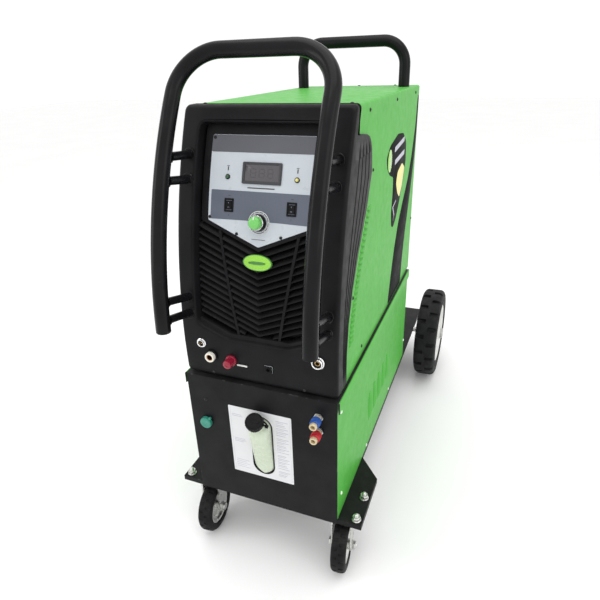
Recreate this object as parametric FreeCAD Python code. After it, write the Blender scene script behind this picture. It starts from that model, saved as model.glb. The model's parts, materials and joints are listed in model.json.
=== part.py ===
import FreeCAD, Part
import math
import os

# Water-cooled plasma cutter on a wheeled trolley, in millimetres.
# The shapes are drawn with X across the machine, Y = 0 at the lower cabinet's front face and
# Z = 0 on the floor. save() then moves everything along Y, so that the exported origin is the
# bottom centre of the whole unit, with the front facing -Y and +Z up.

V = FreeCAD.Vector
X_AXIS = V(1, 0, 0)
Y_AXIS = V(0, 1, 0)
Z_AXIS = V(0, 0, 1)
SIDES = (("left", -1), ("right", 1))

# --- driving dimensions -------------------------------------------------------------------
SHEET = 1.5                    # cabinet sheet metal
GAP = 0.3                      # clearance between bodies that move
SKIN = 3.0                     # wall of the moulded plastic front

# chassis
BASE_Z = 157.0                 # underside of the folded rim
PLATE_Z = 169.0                # top of the base plate
PLATE_T = 4.0
CHASSIS_HALF = 168.0
EAR_HALF = 220.0
EAR_LENGTH = 144.0
EAR_END = 204.0
CHASSIS_BACK = 717.0
SHELF_BACK = 1075.0

# rear wheels
WHEEL_R = 155.0
WHEEL_Y = 931.0
TYRE_IN = 192.0
TYRE_OUT = 263.0
RIM_R = 103.0
AXLE_R = 9.0
AXLE_HALF = 274.0
HUB_IN = 188.0
HUB_OUT = 264.0

# castors
CASTOR_R = 62.5
SWIVEL_X = 167.5
SWIVEL_Y = 46.0
CASTOR_Y = 32.0
CASTOR_TYRE_HALF = 17.0
CASTOR_TURN = {"left": 4.0, "right": 6.0}    # how far each castor is swivelled, in degrees
CASTOR_RIM_R = 43.0
FORK_GAP_HALF = 19.5
FORK_T = 4.0
BOLT_DX = 38.5
BOLT_DY = 32.0

# lower cabinet
LOWER_HALF = 167.5
LOWER_TOP = 476.0
LID_HALF = 172.0
LID_SKIRT_Z = 451.0

# upper unit
UPPER_HALF = 163.5
UPPER_TOP = 998.6
UPPER_BACK = 739.5
COVER_FRONT = 124.0
COVER_SKIRT_Z = 976.0

# moulded front: part of a cylinder about an axis along X
FRONT_HALF = 167.0
FRONT_R = 1050.0
FRONT_CY = 1055.0
FRONT_CZ = 540.0
FRONT_BOTTOM = 478.0
FRONT_TOP = 1000.0
RIM_DEPTH = 24.0
RECESS = 16.0
WINDOW_HALF = 130.0
WINDOW_TOP = 970.0

# tubular handles
TUBE_R = 14.0
TUBE_WALL = 2.0
GRAB_X = 145.0
GRAB_R = 873.0
GRAB_CY = 791.0
GRAB_CZ = 568.0
GRAB_LOW = 622.0
GRAB_HIGH = 1022.0
GRAB_BEND = 78.0
REAR_HANDLE_X = 137.0
REAR_HANDLE_Y = 655.0
REAR_HANDLE_Z = 1106.0
REAR_HANDLE_BEND = 56.0

# the fronts of the grab handle and the backs of the rear tyres set the unit's length
FRONT_MOST = GRAB_CY - GRAB_R * math.cos(math.asin((GRAB_LOW - GRAB_CZ) / GRAB_R)) - TUBE_R
Y_CENTRE = (FRONT_MOST + WHEEL_Y + WHEEL_R) / 2.0


# --- small tools --------------------------------------------------------------------------
def box(x0, x1, y0, y1, z0, z1):
    return Part.makeBox(x1 - x0, y1 - y0, z1 - z0, V(x0, y0, z0))


def rod(radius, start, end):
    """A solid round bar from one point to another."""
    way = V(*end) - V(*start)
    return Part.makeCylinder(radius, way.Length, V(*start), way)


def ring(outer, inner, start, end):
    return rod(outer, start, end).cut(rod(inner, start, end))


def hexagon(flats, start, end):
    """A hexagonal bar; flats is the distance across flats."""
    way = V(*end) - V(*start)
    side = flats / math.sqrt(3.0)
    corners = [V(side * math.cos(k * math.pi / 3), side * math.sin(k * math.pi / 3), 0)
               for k in range(7)]
    prism = Part.Face(Part.makePolygon(corners)).extrude(V(0, 0, way.Length))
    prism.Placement = FreeCAD.Placement(V(*start), FreeCAD.Rotation(Z_AXIS, way))
    return prism


def plate_xy(points, z0, z1):
    outline = Part.makePolygon([V(x, y, z0) for x, y in points + points[:1]])
    return Part.Face(outline).extrude(V(0, 0, z1 - z0))


def plate_yz(points, x0, x1):
    outline = Part.makePolygon([V(x0, y, z) for y, z in points + points[:1]])
    return Part.Face(outline).extrude(V(x1 - x0, 0, 0))


def plate_xz(points, y0, y1):
    outline = Part.makePolygon([V(x, y0, z) for x, z in points + points[:1]])
    return Part.Face(outline).extrude(V(0, y1 - y0, 0))


def lathe(profile, centre, axis):
    """Turn (radius, distance along the axis) points about an axis through centre."""
    points = [V(r, 0, h) for r, h in profile + profile[:1]]
    solid = Part.Face(Part.makePolygon(points)).revolve(V(0, 0, 0), Z_AXIS, 360)
    solid.Placement = FreeCAD.Placement(V(*centre), FreeCAD.Rotation(Z_AXIS, axis))
    return solid


def join(shapes):
    return shapes[0].fuse(shapes[1:]).removeSplitter()


def group(shapes):
    """Separate solids kept together in one node."""
    return Part.makeCompound(shapes)


def mirrored(shape):
    return shape.mirror(V(0, 0, 0), X_AXIS)


def on_side(shape, sign):
    """A shape drawn for the right-hand side, or its mirror image for the left."""
    return shape if sign > 0 else mirrored(shape)


def save(name, shape):
    moved = shape.copy()
    moved.translate(V(0, -Y_CENTRE, 0))
    for solid in moved.Solids:
        if not solid.isValid() or solid.Volume <= 0:
            raise ValueError("bad solid in " + name)
    moved.exportStep("parts/" + name + ".step")


def arc_y(z, radius):
    """Y of a surface of the moulded front, whose surfaces share one axis, at height z."""
    return FRONT_CY - math.sqrt(radius ** 2 - (z - FRONT_CZ) ** 2)


def grab_y(z):
    """Y of the grab handle's centre line at height z."""
    return GRAB_CY - math.sqrt(GRAB_R ** 2 - (z - GRAB_CZ) ** 2)


def front_cylinder(radius):
    return Part.makeCylinder(radius, 2 * EAR_HALF, V(-EAR_HALF, FRONT_CY, FRONT_CZ), X_AXIS)


def pipe(path, radius, start, way):
    circle = Part.Wire(Part.Circle(start, way, radius).toShape())
    return path.makePipeShell([circle], True, False)


def tube(path, start, way):
    outer = pipe(path, TUBE_R, start, way)
    inner = pipe(path, TUBE_R - TUBE_WALL, start, way)
    return outer.cut(inner)


# --- chassis ------------------------------------------------------------------------------
def castor_bolt_places():
    return [(sign * (SWIVEL_X + dx), SWIVEL_Y + dy)
            for _, sign in SIDES for dx in (-BOLT_DX, BOLT_DX) for dy in (-BOLT_DY, BOLT_DY)]


def folded_plate(outline):
    """A plate whose edges are all folded down."""
    solid = plate_xy(outline, BASE_Z, PLATE_Z)
    face = Part.Face(Part.makePolygon([V(x, y, BASE_Z) for x, y in outline + outline[:1]]))
    inside = face.makeOffset2D(-PLATE_T)
    return solid.cut(inside.extrude(V(0, 0, PLATE_Z - PLATE_T - BASE_Z)))


JOIN_BOLT_X = (-110.0, 0.0, 110.0)
JOIN_BOLT_Z = 161.0
JOIN_BOLT_R = 2.5


def base_tray():
    outline = [(-EAR_HALF, 0), (EAR_HALF, 0), (EAR_HALF, EAR_LENGTH), (CHASSIS_HALF, EAR_END),
               (CHASSIS_HALF, CHASSIS_BACK), (-CHASSIS_HALF, CHASSIS_BACK),
               (-CHASSIS_HALF, EAR_END), (-EAR_HALF, EAR_LENGTH)]
    tray = folded_plate(outline)
    holes = [rod(5.5, (x, y, BASE_Z), (x, y, PLATE_Z + 1)) for x, y in castor_bolt_places()]
    holes += [rod(JOIN_BOLT_R, (x, CHASSIS_BACK - 20, JOIN_BOLT_Z),
                  (x, CHASSIS_BACK + 1, JOIN_BOLT_Z)) for x in JOIN_BOLT_X]
    return tray.cut(holes)


NOTCH_HALF = 13.0


def rear_platform():
    outline = [(-CHASSIS_HALF, CHASSIS_BACK), (CHASSIS_HALF, CHASSIS_BACK),
               (CHASSIS_HALF, SHELF_BACK), (-CHASSIS_HALF, SHELF_BACK)]
    shelf = folded_plate(outline)
    notch = box(-CHASSIS_HALF - 1, CHASSIS_HALF + 1, WHEEL_Y - NOTCH_HALF, WHEEL_Y + NOTCH_HALF,
                BASE_Z - 1, PLATE_Z - PLATE_T)
    holes = [rod(JOIN_BOLT_R, (x, CHASSIS_BACK - 1, JOIN_BOLT_Z),
                 (x, CHASSIS_BACK + 20, JOIN_BOLT_Z)) for x in JOIN_BOLT_X]
    return group([shelf.cut([notch] + holes)] + axle_brackets())


BRACKET_X = 140.0
BRACKET_HALF = 14.0


def axle_brackets():
    """Two saddle blocks, welded under the rear platform, that carry the axle."""
    top = PLATE_Z - PLATE_T
    block = plate_yz([(WHEEL_Y - 30, top), (WHEEL_Y - 16, top - 40), (WHEEL_Y + 16, top - 40),
                      (WHEEL_Y + 30, top)], BRACKET_X - BRACKET_HALF, BRACKET_X + BRACKET_HALF)
    bore = rod(AXLE_R, (0, WHEEL_Y, WHEEL_R), (EAR_HALF, WHEEL_Y, WHEEL_R))
    saddle = block.cut(bore)
    return [saddle, mirrored(saddle)]


def rear_axle():
    bar = rod(AXLE_R, (-AXLE_HALF, WHEEL_Y, WHEEL_R), (AXLE_HALF, WHEEL_Y, WHEEL_R))
    end_chamfers = [edge for edge in bar.Edges if abs(abs(edge.CenterOfMass.x) - AXLE_HALF) < 0.01
                    and edge.Curve.TypeId == "Part::GeomCircle"]
    return bar.makeChamfer(1.5, end_chamfers)


def bolt_set(x, y, low, high):
    """A hexagon bolt with its head below, and a nut and washer on top of the plate."""
    head = hexagon(16, (x, y, low - 6.4), (x, y, low))
    shank = rod(5.0, (x, y, low), (x, y, high + 14))
    bolt = join([head, shank])
    washer = ring(10.0, 5.0, (x, y, high), (x, y, high + 2))
    nut = hexagon(16, (x, y, high + 2), (x, y, high + 10)).cut(
        rod(5.0, (x, y, high), (x, y, high + 12)))
    return [bolt, washer, nut]


def chassis_fasteners():
    """Castor bolts, the bolts between tray and platform, and the axle's washers and nuts."""
    pieces = []
    plate_bottom = PLATE_Z - PLATE_T - CASTOR_PLATE_T
    for x, y in castor_bolt_places():
        pieces += bolt_set(x, y, plate_bottom, PLATE_Z)
    for x in JOIN_BOLT_X:
        back = CHASSIS_BACK + PLATE_T
        head = hexagon(8, (x, back, JOIN_BOLT_Z), (x, back + 3.5, JOIN_BOLT_Z))
        shank = rod(JOIN_BOLT_R, (x, CHASSIS_BACK - 12, JOIN_BOLT_Z), (x, back, JOIN_BOLT_Z))
        pieces.append(join([head, shank]))
    for _, sign in SIDES:
        start = HUB_OUT + GAP
        washer = ring(20.0, AXLE_R, (start, WHEEL_Y, WHEEL_R), (start + 3, WHEEL_Y, WHEEL_R))
        pieces.append(on_side(washer, sign))
        collar = ring(15.0, AXLE_R, (HUB_IN - GAP - 8, WHEEL_Y, WHEEL_R),
                      (HUB_IN - GAP, WHEEL_Y, WHEEL_R))
        pieces.append(on_side(collar, sign))
        nut = hexagon(30, (start + 3, WHEEL_Y, WHEEL_R), (AXLE_HALF - 0.5, WHEEL_Y, WHEEL_R))
        nut = nut.cut(rod(AXLE_R, (HUB_IN, WHEEL_Y, WHEEL_R), (EAR_HALF * 2, WHEEL_Y, WHEEL_R)))
        pieces.append(on_side(nut, sign))
    return group(pieces)


# --- rear wheels --------------------------------------------------------------------------
def rear_tyre():
    """A solid rubber tyre; its tread is cut by cross grooves that alternate from side to side."""
    width = TYRE_OUT - TYRE_IN
    crown = 14.0
    profile = [(RIM_R, 4), (RIM_R, width - 4), (RIM_R + 10, width), (WHEEL_R - crown, width),
               (WHEEL_R - 4, width - 6), (WHEEL_R, width - 13), (WHEEL_R, 13), (WHEEL_R - 4, 6),
               (WHEEL_R - crown, 0), (RIM_R + 10, 0)]
    tyre = lathe(profile, (TYRE_IN, WHEEL_Y, WHEEL_R), X_AXIS)
    grooves = []
    count = 18
    for k in range(count):
        for side in (0, 1):
            angle = 360.0 * (k + side * 0.5) / count
            low = TYRE_IN - 1 if side == 0 else TYRE_IN + width / 2 + 5
            high = TYRE_IN + width / 2 - 5 if side == 0 else TYRE_OUT + 1
            groove = box(low, high, WHEEL_Y - 7, WHEEL_Y + 7, 2 * WHEEL_R - 9, 2 * WHEEL_R + 5)
            groove.rotate(V(0, WHEEL_Y, WHEEL_R), X_AXIS, angle)
            grooves.append(groove)
    return tyre.cut(grooves)


def rear_rim():
    """A dished steel disc welded to its rim band and a hub tube."""
    width = TYRE_OUT - TYRE_IN
    start = HUB_IN - TYRE_IN
    end = HUB_OUT - TYRE_IN
    bore = AXLE_R + 0.05
    profile = [(bore, start), (24, start), (24, width - 30), (70, width - 22), (RIM_R - 5, width - 30),
               (RIM_R - 5, 4), (RIM_R, 4), (RIM_R, width - 4), (RIM_R - 4, width - 4),
               (RIM_R - 12, width - 20), (70, width - 18), (24, width - 26), (24, end), (bore, end)]
    return lathe(profile, (TYRE_IN, WHEEL_Y, WHEEL_R), X_AXIS)


# --- castors ------------------------------------------------------------------------------
CASTOR_PLATE_T = 5.0
CUP_Z = 150.0
KINGPIN_R = 6.0
CROWN_Z = 143.0


def castor_plate():
    top = PLATE_Z - PLATE_T
    low = top - CASTOR_PLATE_T
    plate = box(SWIVEL_X - 48, SWIVEL_X + 48, SWIVEL_Y - 41, SWIVEL_Y + 41, low, top)
    cup = rod(31, (SWIVEL_X, SWIVEL_Y, CUP_Z), (SWIVEL_X, SWIVEL_Y, low))
    body = join([plate, cup])
    holes = [rod(5.5, (SWIVEL_X + dx, SWIVEL_Y + dy, low - 1), (SWIVEL_X + dx, SWIVEL_Y + dy, top + 1))
             for dx in (-BOLT_DX, BOLT_DX) for dy in (-BOLT_DY, BOLT_DY)]
    holes.append(rod(KINGPIN_R + 0.05, (SWIVEL_X, SWIVEL_Y, CUP_Z - 1), (SWIVEL_X, SWIVEL_Y, top + 1)))
    return body.cut(holes)


def castor_fork():
    """Crown disc and two tapering legs; the kingpin turns in the plate's cup."""
    crown = rod(29, (SWIVEL_X, SWIVEL_Y, CROWN_Z), (SWIVEL_X, SWIVEL_Y, CUP_Z - GAP))
    half = FORK_GAP_HALF + FORK_T
    bridge = box(SWIVEL_X - half, SWIVEL_X + half, SWIVEL_Y - 26, SWIVEL_Y + 26, CROWN_Z - 6, CROWN_Z)
    legs = []
    for low in (SWIVEL_X - half, SWIVEL_X + FORK_GAP_HALF):
        leg = plate_yz([(SWIVEL_Y - 26, CROWN_Z), (SWIVEL_Y - 26, 118), (CASTOR_Y - 13, CASTOR_R + 4),
                        (CASTOR_Y - 13, CASTOR_R), (CASTOR_Y + 13, CASTOR_R),
                        (CASTOR_Y + 13, CASTOR_R + 4), (SWIVEL_Y + 26, 118), (SWIVEL_Y + 26, CROWN_Z)],
                       low, low + FORK_T)
        boss = rod(13, (low, CASTOR_Y, CASTOR_R), (low + FORK_T, CASTOR_Y, CASTOR_R))
        legs += [leg, boss]
    kingpin = rod(KINGPIN_R, (SWIVEL_X, SWIVEL_Y, CUP_Z - 2), (SWIVEL_X, SWIVEL_Y, PLATE_Z - PLATE_T - 1))
    fork = join([crown, bridge, kingpin] + legs)
    clearance = rod(CASTOR_R + 3, (SWIVEL_X - FORK_GAP_HALF, CASTOR_Y, CASTOR_R),
                    (SWIVEL_X + FORK_GAP_HALF, CASTOR_Y, CASTOR_R))
    pin_hole = rod(5.0, (SWIVEL_X - 60, CASTOR_Y, CASTOR_R), (SWIVEL_X + 60, CASTOR_Y, CASTOR_R))
    return fork.cut([clearance, pin_hole])


def castor_pin():
    """The wheel's axle bolt with its nut, held by the fork."""
    half = FORK_GAP_HALF + FORK_T
    shank = rod(5.0, (SWIVEL_X - half, CASTOR_Y, CASTOR_R), (SWIVEL_X + half + 11, CASTOR_Y, CASTOR_R))
    head = hexagon(17, (SWIVEL_X - half - 6.5, CASTOR_Y, CASTOR_R), (SWIVEL_X - half, CASTOR_Y, CASTOR_R))
    nut = hexagon(17, (SWIVEL_X + half, CASTOR_Y, CASTOR_R), (SWIVEL_X + half + 8, CASTOR_Y, CASTOR_R))
    nut = nut.cut(rod(5.0, (SWIVEL_X, CASTOR_Y, CASTOR_R), (SWIVEL_X + 60, CASTOR_Y, CASTOR_R)))
    return [join([shank, head]), nut]


def castor_tyre():
    width = 2 * CASTOR_TYRE_HALF
    profile = [(CASTOR_RIM_R, 3), (CASTOR_RIM_R, width - 3), (CASTOR_RIM_R + 5, width),
               (CASTOR_R - 9, width), (CASTOR_R - 3, width - 4), (CASTOR_R, width - 10), (CASTOR_R, 10),
               (CASTOR_R - 3, 4), (CASTOR_R - 9, 0), (CASTOR_RIM_R + 5, 0)]
    return lathe(profile, (SWIVEL_X - CASTOR_TYRE_HALF, CASTOR_Y, CASTOR_R), X_AXIS)


def castor_wheel():
    """Pressed rim with a hub tube that fills the fork's width."""
    width = 2 * CASTOR_TYRE_HALF
    hub = FORK_GAP_HALF - GAP - CASTOR_TYRE_HALF
    profile = [(5.05, -hub), (12, -hub), (12, 9), (34, 14), (38, 5), (38, 3), (CASTOR_RIM_R, 3),
               (CASTOR_RIM_R, width - 3), (38, width - 3), (38, width - 5), (34, width - 14),
               (12, width - 9), (12, width + hub), (5.05, width + hub)]
    return lathe(profile, (SWIVEL_X - CASTOR_TYRE_HALF, CASTOR_Y, CASTOR_R), X_AXIS)


def swivelled(shape, name, sign):
    """A castor part drawn pointing straight ahead on the right, put in its place and turned."""
    placed = on_side(shape, sign)
    placed.rotate(V(sign * SWIVEL_X, SWIVEL_Y, 0), Z_AXIS, CASTOR_TURN[name])
    return placed


# --- lower cabinet ------------------------------------------------------------------------
BOTTLE_X = 1.0
BOTTLE_R = 22.5
BOTTLE_LOW = 274.0
BOTTLE_HIGH = 378.0
COUPLING_X = 129.0
COUPLING_Z = {"blue": 435.0, "red": 401.0}
COUPLING_SHANK_R = 8.0
COUPLING_NOSE_R = 7.0
COUPLING_SLEEVE_R = 10.0
DRAIN_X = -131.0
DRAIN_Z = 358.0


def obround(x, radius, z0, z1, y0, y1):
    column = box(x - radius, x + radius, y0, y1, z0, z1)
    ends = [rod(radius, (x, y0, z), (x, y1, z)) for z in (z0, z1)]
    return join([column] + ends)


def lower_front_panel():
    panel = box(-LOWER_HALF, LOWER_HALF, -SHEET, 0, BASE_Z, LOWER_TOP - SHEET)
    holes = [obround(BOTTLE_X, BOTTLE_R + 1, BOTTLE_LOW, BOTTLE_HIGH, -5, 5)]
    holes += [rod(COUPLING_SHANK_R, (COUPLING_X, -5, z), (COUPLING_X, 5, z)) for z in COUPLING_Z.values()]
    holes.append(rod(5.5, (DRAIN_X, -5, DRAIN_Z), (DRAIN_X, 5, DRAIN_Z)))
    return panel.cut(holes)


SIDE_SLOT_Y = (265.0, 312.0, 359.0, 406.0, 453.0)
SIDE_SLOT_LOW = 246.0
SIDE_SLOT_HIGH = 322.0
SIDE_SLOT_HALF = 4.0


def lower_side():
    """Right-hand side sheet, with a row of upright louvre slots about its middle."""
    sheet = box(LOWER_HALF - SHEET, LOWER_HALF, 0, CHASSIS_BACK, PLATE_Z, LOWER_TOP - SHEET)
    slots = [box(LOWER_HALF - 5, LOWER_HALF + 5, y - SIDE_SLOT_HALF, y + SIDE_SLOT_HALF,
                 SIDE_SLOT_LOW, SIDE_SLOT_HIGH) for y in SIDE_SLOT_Y]
    return sheet.cut(slots)


def lower_rear_panel():
    inner = LOWER_HALF - SHEET
    panel = box(-inner, inner, CHASSIS_BACK - SHEET, CHASSIS_BACK, PLATE_Z, LOWER_TOP - SHEET)
    slots = [box(-90, 90, CHASSIS_BACK - 5, CHASSIS_BACK + 5, z, z + 5) for z in range(260, 420, 14)]
    return panel.cut(slots)


def lower_lid():
    """Deck between the two cabinets; its side skirts stand proud of the lower sides."""
    deck = box(-LID_HALF, LID_HALF, -SHEET, CHASSIS_BACK, LOWER_TOP - SHEET, LOWER_TOP)
    skirts = [box(x, x + SHEET, -SHEET, CHASSIS_BACK, LID_SKIRT_Z, LOWER_TOP - SHEET)
              for x in (-LID_HALF, LID_HALF - SHEET)]
    return join([deck] + skirts)


NECK_LEAN = math.radians(35)
NECK_WAY = (0.0, -math.sin(NECK_LEAN), math.cos(NECK_LEAN))
CAP_BASE = (BOTTLE_X - 3.0, -19.5, 398.0)
CAP_HEIGHT = 17.0
CAP_R = 19.0


def along_neck(distance):
    return tuple(base + distance * way for base, way in zip(CAP_BASE, NECK_WAY))


def coolant_bottle():
    """Clear filler bottle whose front leans out through the slot in the front panel."""
    column = obround(BOTTLE_X, BOTTLE_R, BOTTLE_LOW, BOTTLE_HIGH, -60, 60)
    lean = plate_yz([(-2.5, 250), (-4, 270), (-27, 366), (-27, 376), (-12, 392), (10, 402), (60, 402),
                     (60, 250)], BOTTLE_X - BOTTLE_R, BOTTLE_X + BOTTLE_R)
    body = column.common(lean)
    neck = rod(16, along_neck(-26), along_neck(0))
    thread = rod(13.5, along_neck(0), along_neck(9))
    return join([body, neck, thread])


def filler_cap():
    skirt = rod(CAP_R, along_neck(GAP), along_neck(CAP_HEIGHT))
    hollow = rod(13.8, along_neck(0), along_neck(9.5))
    cap = skirt.cut(hollow)
    flutes = []
    count = 24
    start = V(*along_neck(0))
    for k in range(count):
        flute = Part.makeCylinder(1.4, CAP_HEIGHT + 2, V(CAP_R + 0.3, 0, 0), Z_AXIS)
        flute.rotate(V(0, 0, 0), Z_AXIS, 360.0 * k / count)
        flute.Placement = FreeCAD.Placement(start, FreeCAD.Rotation(Z_AXIS, V(*NECK_WAY))).multiply(
            flute.Placement)
        flutes.append(flute)
    return cap.cut(flutes)


def coolant_tank():
    tank = box(-130, 40, 100, 330, PLATE_Z, 360)
    tank = tank.makeFillet(12, [e for e in tank.Edges if abs(e.tangentAt(e.FirstParameter).z) > 0.9])
    inside = box(-127, 37, 103, 327, PLATE_Z + 3, 357)
    filler = box(BOTTLE_X - 12, BOTTLE_X + 12, 60, 100.5, 268, 292)
    return join([tank, filler]).cut(inside)


def coolant_pump():
    motor = rod(45, (95, 120, PLATE_Z + 55), (95, 280, PLATE_Z + 55))
    head = rod(38, (95, 84, PLATE_Z + 55), (95, 120, PLATE_Z + 55))
    foot = box(60, 130, 140, 260, PLATE_Z, PLATE_Z + 25)
    outlet = rod(8, (95, 102, PLATE_Z + 80), (95, 102, PLATE_Z + 112))
    return join([motor, head, foot, outlet])


def radiator():
    """Core with its fins and two header tanks, standing across the cabinet."""
    fins = [box(-110, 110, y, y + 1.5, 190, 420) for y in range(400, 440, 5)]
    headers = [box(-122, -110, 396, 442, 180, 430), box(110, 122, 396, 442, 180, 430)]
    bottom = box(-122, 122, 396, 442, PLATE_Z, 190)
    top = box(-122, 122, 396, 442, 420, 430)
    return join(fins + headers + [bottom, top])


def fan(radius, hub_radius, depth, blades, centre):
    """Axial fan rotor that turns about an axis along Y."""
    x, y, z = centre
    parts = [ring(hub_radius, 3.05, (x, y, z), (x, y + depth, z))]
    for k in range(blades):
        blade = box(x + hub_radius - 2, x + radius, y + depth / 2 - 1, y + depth / 2 + 1, z - 14, z + 14)
        blade.rotate(V(x, y + depth / 2, z), X_AXIS, 30)
        blade.rotate(V(x, y + depth / 2, z), Y_AXIS, 360.0 * k / blades)
        parts.append(blade)
    return join(parts)


COOLER_FAN = (0.0, 470.0, 305.0)
MAIN_FAN = (0.0, 690.0, 720.0)
MOTOR_STRAP_HALF = 121.0


def fan_motor(centre, shaft_far, motor_near, strap_y, mount_y):
    """Motor and shaft of one fan, on a strap whose legs run back to the panel it is fixed to."""
    x, _, z = centre
    way = 1 if motor_near > shaft_far else -1
    shaft = rod(3.0, (x, shaft_far, z), (x, motor_near, z))
    can = rod(26, (x, motor_near, z), (x, motor_near + way * 32, z))
    strap = box(-MOTOR_STRAP_HALF, MOTOR_STRAP_HALF, strap_y - 2, strap_y + 2, z - 8, z + 8)
    near, far = sorted((strap_y, mount_y))
    legs = [box(side, side + 3, near, far, z - 8, z + 8)
            for side in (-MOTOR_STRAP_HALF, MOTOR_STRAP_HALF - 3)]
    return join([shaft, can, strap] + legs)


def coupling_nipple(z):
    """Brass half of a quick coupling: flange on the panel, shank inside and a bored nose."""
    flange = hexagon(18, (COUPLING_X, -SHEET, z), (COUPLING_X, -SHEET - 4, z))
    shank = rod(COUPLING_SHANK_R, (COUPLING_X, -SHEET - 1, z), (COUPLING_X, 18, z))
    nose = rod(COUPLING_NOSE_R, (COUPLING_X, -36, z), (COUPLING_X, -SHEET, z))
    bore = rod(COUPLING_NOSE_R - 2.5, (COUPLING_X, -40, z), (COUPLING_X, -20, z))
    return join([flange, shank, nose]).cut(bore)


def coupling_sleeve(z):
    """Coloured sleeve with three grip ribs; it slides back along the nose to release a hose."""
    ribs = [ring(COUPLING_SLEEVE_R + 0.5, COUPLING_SLEEVE_R - 0.5, (COUPLING_X, y, z),
                 (COUPLING_X, y + 2, z)) for y in (-24, -20, -16)]
    sleeve = ring(COUPLING_SLEEVE_R, COUPLING_NOSE_R + 0.05, (COUPLING_X, -28, z),
                  (COUPLING_X, -11, z))
    return join([sleeve] + ribs)


def drain_knob():
    """Round green knob with a pointer tab; its stem passes through the front panel."""
    disc = rod(13.5, (DRAIN_X, -11, DRAIN_Z), (DRAIN_X, -SHEET - GAP, DRAIN_Z))
    tab = box(DRAIN_X - 3, DRAIN_X + 3, -9, -4, DRAIN_Z, DRAIN_Z + 19)
    tab.rotate(V(DRAIN_X, 0, DRAIN_Z), Y_AXIS, 40)
    stem = rod(5.45, (DRAIN_X, -5, DRAIN_Z), (DRAIN_X, 12, DRAIN_Z))
    return join([disc, tab, stem])


# --- upper unit ---------------------------------------------------------------------------
def upper_base():
    inner = UPPER_HALF - SHEET
    floor = box(-inner, inner, 34, UPPER_BACK - 6, LOWER_TOP, LOWER_TOP + 2)
    lips = [box(x, x + SHEET, 34, UPPER_BACK - 6, LOWER_TOP, LOWER_TOP + 18)
            for x in (-inner, inner - SHEET)]
    return join([floor] + lips)


def top_cover():
    """Folded lid with rounded shoulders and short side skirts."""
    bend = 5.0
    depth = UPPER_BACK - COVER_FRONT
    outer = box(-UPPER_HALF, UPPER_HALF, COVER_FRONT, UPPER_BACK, COVER_SKIRT_Z, UPPER_TOP)
    corners = [e for e in outer.Edges if abs(e.CenterOfMass.z - UPPER_TOP) < 0.01
               and abs(e.Length - depth) < 0.01]
    outer = outer.makeFillet(bend, corners)
    inner = box(-UPPER_HALF + SHEET, UPPER_HALF - SHEET, COVER_FRONT - 1, UPPER_BACK + 1,
                COVER_SKIRT_Z - 1, UPPER_TOP - SHEET)
    shoulders = [e for e in inner.Edges if abs(e.CenterOfMass.z - UPPER_TOP + SHEET) < 0.01
                 and abs(e.Length - depth - 2) < 0.01]
    return outer.cut(inner.makeFillet(bend - SHEET, shoulders))


VENT_COUNT = 25
VENT_PITCH = 10.2
VENT_LOW = 548.0


def vent_line(z):
    """Y of the smooth curve, close to the ear's rear edge, that the slits follow."""
    return 62.0 + 128.0 * max(0.0, (z - 560.0) / 246.0) ** 1.35


def upper_side():
    """Right-hand side sheet; a column of short slits follows the moulded ear's rear edge."""
    sheet = box(UPPER_HALF - SHEET, UPPER_HALF, 0, UPPER_BACK - 1.5, LOWER_TOP, COVER_SKIRT_Z)
    sheet = sheet.common(front_cylinder(FRONT_R - RIM_DEPTH))
    slits = []
    for k in range(VENT_COUNT):
        z = VENT_LOW + VENT_PITCH * k
        y = vent_line(z) + 26
        slits.append(box(UPPER_HALF - 5, UPPER_HALF + 5, y, y + 30, z, z + 3))
    return sheet.cut(slits)


BREAKER = (100.0, 560.0)
GLAND = (15.0, 528.0)
AIR_INLET = (-95.0, 560.0)


def upper_rear_panel():
    """Rear panel with a round fan grille and openings for breaker, cable gland and air inlet."""
    inner = UPPER_HALF - SHEET
    low = UPPER_BACK - 3.5
    high = low + 2
    panel = box(-inner, inner, low, high, LOWER_TOP, UPPER_TOP - SHEET)
    top_edges = [e for e in panel.Edges if abs(abs(e.CenterOfMass.x) - inner) < 0.01
                 and abs(e.CenterOfMass.z - UPPER_TOP + SHEET) < 0.01]
    panel = panel.makeFillet(3.5, top_edges)
    grille = []
    for ring_r in (20, 36, 52, 68, 84, 100):
        grille.append(ring(ring_r + 9, ring_r, (MAIN_FAN[0], low - 1, MAIN_FAN[2]),
                           (MAIN_FAN[0], high + 1, MAIN_FAN[2])))
    openings = grille[0].fuse(grille[1:])
    spokes = []
    for angle in (0, 60, 120):
        spoke = box(-115, 115, low - 2, high + 2, MAIN_FAN[2] - 3, MAIN_FAN[2] + 3)
        spoke.rotate(V(0, low, MAIN_FAN[2]), Y_AXIS, angle)
        spokes.append(spoke)
    openings = openings.cut(spokes)
    x, z = BREAKER
    others = [box(x - 26, x + 26, low - 1, high + 1, z - 38, z + 38)]
    others.append(rod(12, (GLAND[0], low - 1, GLAND[1]), (GLAND[0], high + 1, GLAND[1])))
    others.append(rod(8, (AIR_INLET[0], low - 1, AIR_INLET[1]), (AIR_INLET[0], high + 1, AIR_INLET[1])))
    return panel.cut([openings] + others)


EAR_CURVE = [(222, 866), (190, 806), (137, 735), (98, 671), (74, 610), (63, 545), (61, 486)]
GROOVE_COUNT = 4
GROOVE_LEVELS = (905, 866, 806, 735, 671, 610, 560)


def ear_edge(z):
    """Y of the ear's rear edge, in straight steps between the points of its curve."""
    for (high_y, high), (low_y, low) in zip(EAR_CURVE, EAR_CURVE[1:]):
        if low <= z <= high:
            return low_y + (high_y - low_y) * (z - low) / (high - low)
    return EAR_CURVE[0][0]


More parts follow.
